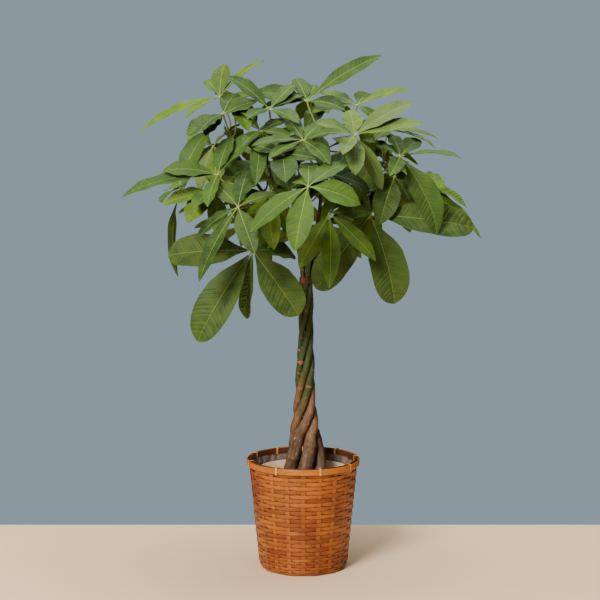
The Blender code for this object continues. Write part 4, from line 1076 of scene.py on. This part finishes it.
# leaves that are deeply quilted between their veins, and how deep
quilted = {4: 0.0017, 8: 0.0015, 10: 0.0008, 13: 0.0012, 14: 0.0015, 9: 0.0009, 17: 0.0010, 18: 0.0009}
# how light each leaf's green is, from 0 for deep green to 1 for young lime green: partly each leaf's own
# colour and partly painted light and shade, set leaf by leaf
leafToneAndShade = (0.58, 0.58, 0.28, 0.38, 0.66, 0.33, 0.33, 0.36, 0.48, 0.44,
             0.34, 0.70, 0.32, 0.68, 0.64, 0.32, 0.32, 0.88, 0.33, 0.62,
             0.74, 0.68, 0.76, 0.86, 0.54, 0.56, 0.32, 0.88, 0.64, 0.86,
             0.34, 0.34, 0.24, 0.68, 0.18, 0.58, 0.62, 0.60, 0.68)
# leaves with a pale waxy bloom, and how much of it
waxy = {5: 0.26, 22: 0.22, 18: 0.12, 29: 0.25, 39: 0.25}
# room that the crossing test keeps round trunks, stalks and leaflets
test = {"trunk": 0.001, "foot": 0.0045, "stalk": 0.0032, "hub": 0.005, "placedStalk": 0.0025,
        "placedHub": 0.004, "leaflet": 0.0016, "sameLeaf": 0.0002,
        "step": 0.012}      # how much further a stalk bows out at each try
stalkShape = {"radius": 0.0018, "foot": 0.0016, "footLength": 0.007, "knee": 0.0010, "kneeLength": 0.011,
              "thinning": 0.0004, "sunk": 0.0012, "behindHub": 0.0013, "steps": 22, "sides": 10,
              "knob": 0.0036, "knobHeight": 0.0023, "knobRings": 7, "knobSides": 14}


def leafletAxes(tip, facing):
    along = tip.normalized()
    normal = facing - facing.dot(along) * along
    if normal.length < 0.2:
        normal = Vector((0, 0, 1)) - along.z * along
    normal.normalize()
    return along, normal, along.cross(normal)


def archRise(tip, u):
    return leafShape["arch"] * 4 * u * (1 - u) * tip.length


def leafletShell(hub, leaflet, facing, stations, fat, root):
    # a leaflet as a plain closed shape, for the crossing test
    tip, width, roll = leaflet
    along, normal, right = leafletAxes(tip, facing)
    turn = spin(roll, along)
    verts = []

    def addSection(centre, up, out, rise=Vector()):
        verts.extend((centre + up, centre + out + rise, centre - up, centre - out + rise))

    if root:
        addSection(hub + along * 0.002, normal * 0.004, right * 0.004)
    for u, share in stations:
        f = min(1.0, u / leafShape["rollBy"])
        n = (normal * (1 - f) + turn @ normal * f).normalized()
        s = (right * (1 - f) + turn @ right * f).normalized()
        half = width * 0.5 * share + fat
        thick = leafShape["shellThickness"] * 0.5 + fat * 0.8
        rise = n * (leafShape["fold"] * half)
        addSection(hub + tip * u + normal * archRise(tip, u), n * thick, s * half, rise)
    last = len(verts) - 4
    faces = [(3, 2, 1, 0)] + gridFaces(len(verts) // 4, 4)
    faces += [(last + k, last + (k + 1) % 4, last + 4) for k in range(4)]
    return verts + [hub + tip * (1 + fat / tip.length)], faces


def stalkPoint(curve, t):
    foot, b, c, end = curve
    return foot * (1 - t) ** 3 + 3 * b * t * (1 - t) ** 2 + 3 * c * t * t * (1 - t) + end * t ** 3


def stalkCurve(foot, out, hub, facing, bulge):
    # a stalk leaves the trunk square to it and comes up into the back of the hub
    length = (hub - foot).length
    b = foot + out * (0.30 * length) + bulge
    c = hub - facing * (0.32 * length) + bulge
    return foot, b, c, hub - facing * stalkShape["behindHub"]


def cornersOf(verts):
    return [[edge(v[i] for v in verts) for i in range(3)] for edge in (min, max)]


class Taken:
    # the shapes already placed; a new one turns aside rather than cross them
    def __init__(self):
        self.shapes = []

    def put(self, shape, key):
        self.shapes.append((*cornersOf(shape[0]), BVHTree.FromPolygons(*shape), key))

    def hits(self, shape, skip):
        low, high = cornersOf(shape[0])
        near = [tree for a, b, tree, key in self.shapes
                if key != skip and all(a[i] <= high[i] and b[i] >= low[i] for i in range(3))]
        tree = BVHTree.FromPolygons(*shape) if near else None
        return sum(1 for other in near if tree.overlap(other))


def smallTurns():
    # turns to try, least first: swing in the leaf's plane, lift, roll, share of length
    found, angles = [], range(-30, 31, 5)
    for swing, lift, roll, share in product(angles, angles, (-24, 0, 24), (1.0, 0.85, 0.7)):
        cost = abs(swing) + 0.9 * abs(lift) + 0.5 * abs(roll) + 70 * (1 - share)
        found.append((cost, swing, lift, roll, share))
    return [row[1:] for row in sorted(found)]


def turnedTip(tip, facing, swing, lift):
    normal, right = leafletAxes(tip, facing)[1:]
    return spin(lift, right) @ (spin(swing, normal) @ tip)


def placeStalk(taken, hub, facing, path, z):
    (p, r), (q, s) = next(pair for pair in zip(path, path[1:]) if pair[0][0].z <= z <= pair[1][0].z)
    f = (z - p.z) / (q.z - p.z)
    middle, radius, up = p.lerp(q, f), r + (s - r) * f, (q - p).normalized()
    toward = squareTo(up, hub - middle)
    radii = [test["foot"]] + [test["stalk"]] * 4 + [test["hub"]]
    best = None
    for turn in (0, 25, -25, 50, -50, 75, -75):
        out = spin(turn, up) @ toward
        foot = middle + out * (radius + 0.0003)
        side = (hub - foot).cross(Vector((0, 0, 1))).normalized()
        for way in (0, 1, -1, 2, -2, 3, -3, 4, -4):
            for rise in (0, 1, -1, 2):
                bulge = (side * way + Vector((0, 0, rise))) * test["step"]
                curve = stalkCurve(foot, out, hub, facing, bulge)
                points = [stalkPoint(curve, t) for t in (0.0, 0.06, 0.3, 0.55, 0.8)]
                crossings = taken.hits(tube(points[1:] + [hub], radii[1:], 5), None)
                crossings += taken.hits(tube(points + [hub], radii, 5), "trunk")
                if best is None or crossings < best[0]:
                    best = (crossings, points, curve)
                if not crossings:
                    return points, curve
    return best[1:]


def placeLeaves():
    # each leaf's hub, facing, stalk and leaflets, with each one turned aside where it must be
    taken = Taken()
    for path in trunkPaths:
        taken.put(tube([p for p, r in path], [r + test["trunk"] for p, r in path], 8), "trunk")
    placed = []
    for number, (hub, facing, trunk, height, leaflets) in enumerate(leafTable):
        hub = Vector(hub) * 0.01
        facing = Vector(facing).normalized()
        points, curve = placeStalk(taken, hub, facing, trunkPaths[trunk - 1], height * 0.01)
        radii = [test["placedStalk"]] * 5 + [test["placedHub"]]
        taken.put(tube(points + [hub + facing * 0.0014], radii, 6), number)
        placed.append((hub, facing, curve, []))
    tries = smallTurns()
    for number, (hub, facing, curve, done) in enumerate(placed):
        stations = leafShape["bluntStations" if number + 1 in leafShape["blunt"] else "stations"]

        def shell(leaflet, fat, root=False):
            return leafletShell(hub, leaflet, facing, stations, fat, root)

        for dx, dy, dz, width, *roll in leafTable[number][-1]:
            tip = Vector((dx, dy, dz)) * 0.01
            best = None
            for swing, lift, extra, share in tries:
                new = (turnedTip(tip, facing, swing, lift) * share, width * 0.01, sum(roll) + extra)
                crossings = taken.hits(shell(new, test["leaflet"], True), number)
                if not crossings and done:
                    tree = BVHTree.FromPolygons(*shell(new, test["sameLeaf"]))
                    others = [BVHTree.FromPolygons(*shell(other, test["sameLeaf"])) for other in done]
                    crossings = sum(1 for other in others if tree.overlap(other))
                if best is None or crossings < best[0]:
                    best = (crossings, new)
                if not crossings:
                    break
            done.append(best[1])
        for leaflet in done:
            taken.put(shell(leaflet, 0.0, True), number)
    return placed


def makeOutline(name):
    # the half-width share at any place, smoothed
    fineU = np.linspace(0, 1, 401)
    share = np.interp(fineU, *np.transpose(leafShape[name]))
    kernel = np.hanning(25)
    padded = np.concatenate([share[:1] * np.ones(12), share, -share[-13:-1][::-1]])
    smooth = np.convolve(padded, kernel / kernel.sum(), "valid")
    smooth[-1] = 0
    return fineU, np.maximum(smooth, 0.0)


outlines = {name: makeOutline(name) for name in ("outline", "bluntOutline")}


def limited(values):
    return np.clip(values, 0, 1)


def blended(a, b, f):
    mixed = a * (1 - f) + b * f
    return mixed / np.linalg.norm(mixed, axis=2, keepdims=True)


def bladePoints(hub, facing, leaflet, number, draw):
    # both faces of one leaflet: rows follow the side veins, columns run from edge to edge
    tip, width, roll = leaflet
    length = tip.length
    outline = outlines["bluntOutline" if number + 1 in leafShape["blunt"] else "outline"]
    along, normal, right = leafletAxes(tip, facing)
    turn = spin(roll, along)
    hubAt, tipAt, normalAt, rightAt, normalRolled, rightRolled = [
        np.array(v) for v in (hub, tip, normal, right, turn @ normal, turn @ right)]
    pairs = max(6, min(15, round(length * 0.87 / leafShape["veinEvery"])))
    deep = number + 1 in quilted
    rowCount = pairs * leafShape["quiltedRowsPerVein" if deep else "rowsPerVein"]
    first, last = leafShape["firstVein"], leafShape["lastVein"]
    rowU = np.concatenate([[leafShape["start"], 0.075], np.linspace(first, last, rowCount + 1), [0.985, 1.0]])
    phase = (rowU - first) / (last - first) * pairs
    phase = phase + 0.22 * np.sin(2.1 * phase + draw.uniform(0, math.tau)) * limited(phase)
    t = np.linspace(-1, 1, leafShape["columns"] + 1)
    v = (np.sign(t) * np.abs(t) ** 1.25)[None, :]
    size = np.abs(v)
    rowU = rowU[:, None]
    sweep = leafShape["veinSweep"] * 0.5 * width / length * np.interp(rowU, *outline) * size ** 1.15
    u = np.minimum(rowU + sweep * (1 - rowU) ** 0.35, 1.0)
    u[-1] = 1.0
    half = 0.5 * width * np.interp(u, *outline)
    y = half * v
    # the pleats differ from vein to vein, and are deepest towards the end of a quilted leaflet
    depths = [draw.uniform(*leafShape["pleats"]) for k in range(pairs + 2)]
    uneven = np.interp(phase, np.arange(pairs + 2), depths)
    side = np.where(v < 0, draw.uniform(0.75, 1.1), draw.uniform(0.75, 1.1))
    bulge = np.abs(np.sin(math.pi * phase))[:, None] ** 0.8 * uneven[:, None] * side * (1 - size ** 6)
    bulge = bulge * np.minimum(1.0, np.abs(y) / 0.003) * limited((1 - u) * 8) * limited((u - 0.08) * 8)
    if deep:
        bulge = bulge * (0.55 + 0.75 * u)
    waves = draw.uniform(*leafShape["waves"])
    start = draw.uniform(0, math.tau)
    ripple = np.sin(math.tau * waves * u + start + 1.3 * np.sign(v))
    ripple = ripple * size ** 2.4 * np.sin(math.pi * limited(u)) ** 0.5
    droop = draw.uniform(0.0, leafShape["droop"])
    bow = draw.uniform(-leafShape["bow"], leafShape["bow"])
    quilt = quilted.get(number + 1, leafShape["quilt"]) * min(1.0, width / 0.05)
    wave = leafShape["wave"] * (1.6 if deep else 1.0) * min(1.0, width / 0.045)
    rise = leafShape["fold"] * half * size ** 1.5 + wave * ripple + quilt * (bulge - 0.35)
    rise = rise - leafShape["groove"] * np.exp(-(y / 0.0012) ** 2) * limited((1 - u) * 6)
    f = np.minimum(1.0, u / leafShape["rollBy"])[..., None]
    n = blended(normalAt, normalRolled, f)
    s = blended(rightAt, rightRolled, f)
    bend = archRise(tip, u) - droop * length * limited((u - 0.72) / 0.28) ** 2
    aside = y + bow * length * np.sin(math.pi * u)
    middle = hubAt + tipAt * u[..., None] + normalAt * bend[..., None]
    top = middle + s * aside[..., None] + n * rise[..., None]
    ridge = leafShape["ribHeight"] * np.exp(-(y / leafShape["ribHalf"]) ** 2) * (1.05 - u)
    thick = leafShape["thickness"] * (1 - 0.6 * size ** 4) + ridge
    bottom = top - n * thick[..., None]
    fields = {"rib": np.abs(y), "vein": phase[:, None], "edge": size, "run": u}
    return top, bottom, {name: np.broadcast_to(field, u.shape) for name, field in fields.items()}


class LeafParts:
    # gathers the points, faces and values of one leaf
    def __init__(self):
        self.points, self.faces, self.slots, self.count = [], [], [], 0
        self.fields = {name: [] for name in ("rib", "vein", "edge", "run", "tone", "warm", "wax", "under")}

    def add(self, points, faces, slot, **values):
        self.points.append(np.array([tuple(p) for p in points], float))
        self.faces += [tuple(c + self.count for c in face) for face in faces]
        self.slots += [slot] * len(faces)
        self.count += len(points)
        for name, store in self.fields.items():
            store.append(np.broadcast_to(np.asarray(values.get(name, 0.0), float), (len(points),)))


def addBlade(parts, hub, facing, leaflet, number, tone, warm, draw):
    top, bottom, fields = bladePoints(hub, facing, leaflet, number, draw)
    rows, columns = top.shape[:2]
    # the upper face has one point at the tip, and the lower face shares its edge with the upper
    keep = (rows - 1) * columns + 1
    upper = np.arange(rows * columns).reshape(rows, columns)
    upper[-1] = keep - 1
    inner = np.zeros((rows, columns), bool)
    inner[1:-1, 1:-1] = True
    lower = upper.copy()
    lower[inner] = keep + np.arange(inner.sum())
    faces = []
    for grid, step in ((upper, 1), (lower, -1)):
        for i in range(rows - 1):
            for k in range(columns - 1):
                a, b, c, d = grid[i, k], grid[i, k + 1], grid[i + 1, k + 1], grid[i + 1, k]
                face = (a, b, c) if c == d else (a, b, c, d)
                faces.append(face[::step])
    values = {name: np.concatenate([field.reshape(-1)[:keep], field[inner]])
              for name, field in fields.items()}
    under = np.repeat((0.0, 1.0), (keep, inner.sum()))
    parts.add(np.concatenate([top.reshape(-1, 3)[:keep], bottom[inner]]), faces, 0,
              tone=tone, warm=warm, wax=waxy.get(number + 1, 0.0), under=under, **values)
    # the leaflet's own short stalk, running out into the midrib
    tip = leaflet[0]
    normal, right = leafletAxes(tip, facing)[1:]
    places, radii = zip(*leafShape["shortStalk"])
    line = [hub + tip * u + normal * (archRise(tip, u) - 0.0006) for u in places]
    parts.add(*tube(line, radii, 8, first=right), 1, run=1.0, tone=tone)


def addStalk(parts, hub, facing, curve, tone):
    steps, sides = stalkShape["steps"], stalkShape["sides"]
    length = (hub - curve[0]).length
    points, radii = [], []
    for t in (i / steps for i in range(steps + 1)):
        foot = stalkShape["foot"] * math.exp(-(t * length / stalkShape["footLength"]) ** 2)
        knee = stalkShape["knee"] * math.exp(-((1 - t) * length / stalkShape["kneeLength"]) ** 2)
        points.append(stalkPoint(curve, t))
        radii.append(stalkShape["radius"] + stalkShape["thinning"] * (1 - t) + foot + knee)
    points[0] = points[0] + (points[0] - points[1]).normalized() * stalkShape["sunk"]
    parts.add(*tube(points, radii, sides), 1, run=np.repeat(np.linspace(0, 1, steps + 1), sides), tone=tone)
    # the knob where the leaflets meet
    across = facing.orthogonal().normalized()
    other = facing.cross(across)
    verts, rings, sides = [], stalkShape["knobRings"], stalkShape["knobSides"]
    for a in (math.pi * (i + 0.5) / rings - math.pi / 2 for i in range(rings)):
        rise = facing * (stalkShape["knobHeight"] * math.sin(a))
        for b in around(sides):
            verts.append(hub + spoke(across, other, b) * (stalkShape["knob"] * math.cos(a)) + rise)
    parts.add(verts, tubeFaces(rings, sides), 1, run=1.0, tone=tone)


bladeMaterial = leafBladeMaterial({
    "dark": (0.015, 0.034, 0.011), "middle": (0.060, 0.114, 0.022), "bright": (0.145, 0.262, 0.015),
    "wax": (0.19, 0.26, 0.10), "warmTint": (0.105, 0.092, 0.015), "warmth": 0.40,
    "underside": (0.092, 0.150, 0.034), "cloud": 0.20,
    "veinWidth": 0.10, "veinTint": 0.13, "veinColour": (0.16, 0.26, 0.04),
    "ribWidth": 0.0009, "ribTint": 0.58, "ribColour": (0.32, 0.45, 0.08),
    "cloudScale": 38.0, "grainScale": 520.0, "roughness": 0.46, "specular": 0.09, "relief": 0.0005,
    "bump": 0.6})
stemMaterial = stalkMaterial({
    "foot": (0.065, 0.075, 0.020), "hub": (0.25, 0.36, 0.06), "flush": (0.16, 0.12, 0.04),
    "cloudScale": 90.0, "grainScale": 600.0, "roughness": (0.4, 0.55), "relief": 0.0002, "specular": 0.4,
    "bump": 0.4})

leafDraw = random.Random(21)
placedLeaves = placeLeaves()
triangles = 0
for number, (hub, facing, curve, leaflets) in enumerate(placedLeaves):
    parts = LeafParts()
    warm = leafDraw.uniform(0.0, 1.0) ** 2
    for leaflet in leaflets:
        # each leaflet's tone: its leaf's own green with painted light and shade, varied a little
        tone = leafToneAndShade[number] + leafDraw.uniform(-0.09, 0.09)
        addBlade(parts, hub, facing, leaflet, number, tone, warm * leafDraw.uniform(0.4, 1.0), leafDraw)
    addStalk(parts, hub, facing, curve, leafToneAndShade[number])
    values = {name: np.concatenate(store) for name, store in parts.fields.items()}
    points = np.clip(np.concatenate(parts.points), *cadBox)
    mesh = makeMesh(f"leaf{number + 1:02d}", points, parts.faces, [bladeMaterial, stemMaterial],
                    values, parts.slots, 50)
    triangles += sum(len(p.vertices) - 2 for p in mesh.polygons)
    addPiece(f"palm_leaf_{number + 1:02d}", mesh, "leaf", f"leaf_{number + 1:02d}")
print("leaves grown:", len(placedLeaves), "with", triangles, "triangles")


# Floor, light and camera

studio = {
    "floor": ((-1.7, -2.4, 0), (1.7, -2.4, 0), (1.7, 0.385, 0), (-1.7, 0.385, 0)),
    "backdrop": (0.262, 0.338, 0.395), "air": (0.10, 0.10, 0.097),
    "camera": (-0.008, -4.0, 1.1515), "tilt": 7.0, "lens": 99.6,
}
# each light's place, size, power and colour
lights = {
    "key": ((-1.8, -3.55, 3.3), 1.5, 360.0, (1.0, 0.98, 0.94)),
    "fill": ((3.4, -3.0, 1.8), 2.6, 4.0, (0.97, 0.985, 1.0)),
    "top": ((0.2, 0.4, 3.4), 2.0, 95.0, (1.0, 1.0, 1.0)),
}
floorLook = {
    "colour": (0.98, 0.72, 0.44), "second": (0.9506, 0.6984, 0.4268), "cloudScale": 3.0, "grainScale": 90.0,
    "specks": 0.02, "speckColour": (0.6, 0.52, 0.42), "relief": 0.0001, "roughness": (0.55, 0.65),
    "specular": 0.3}
floor = newObject("floor", makeMesh("floor", studio["floor"], [(0, 1, 2, 3)],
                                    [plainMaterial("paleFloor", floorLook)]))
for name, (place, size, power, colour) in lights.items():
    lamp = bpy.data.lights.new(name, "AREA")
    lamp.shape = "SQUARE"
    lamp.size = size
    lamp.energy = power
    lamp.color = colour
    light = newObject(name, lamp)
    light.location = place
    light.rotation_euler = (Vector((0, 0, 0.7)) - Vector(place)).to_track_quat("-Z", "Y").to_euler()

# the camera sees a plain backdrop colour, and the object gets a weaker, neutral light from all round
world = bpy.data.worlds.new("studioAir")
world.use_nodes = True
air = world.node_tree
seen = air.nodes["Background"]
seen.inputs["Color"].default_value = (*studio["backdrop"], 1)
soft = addNode(air, "ShaderNodeBackground", {"Color": studio["air"]})[0]
toCamera = addNode(air, "ShaderNodeLightPath")["Is Camera Ray"]
both = addNode(air, "ShaderNodeMixShader", {0: toCamera, 1: soft, 2: seen.outputs[0]})[0]
air.links.new(both, air.nodes["World Output"].inputs["Surface"])
bpy.context.scene.world = world

lens = bpy.data.cameras.new("view")
lens.lens = studio["lens"]
lens.sensor_width = 36.0
camera = newObject("view", lens)
camera.location = studio["camera"]
camera.rotation_euler = (math.radians(90 - studio["tilt"]), 0, 0)
bpy.context.scene.camera = camera


print("scene ready")
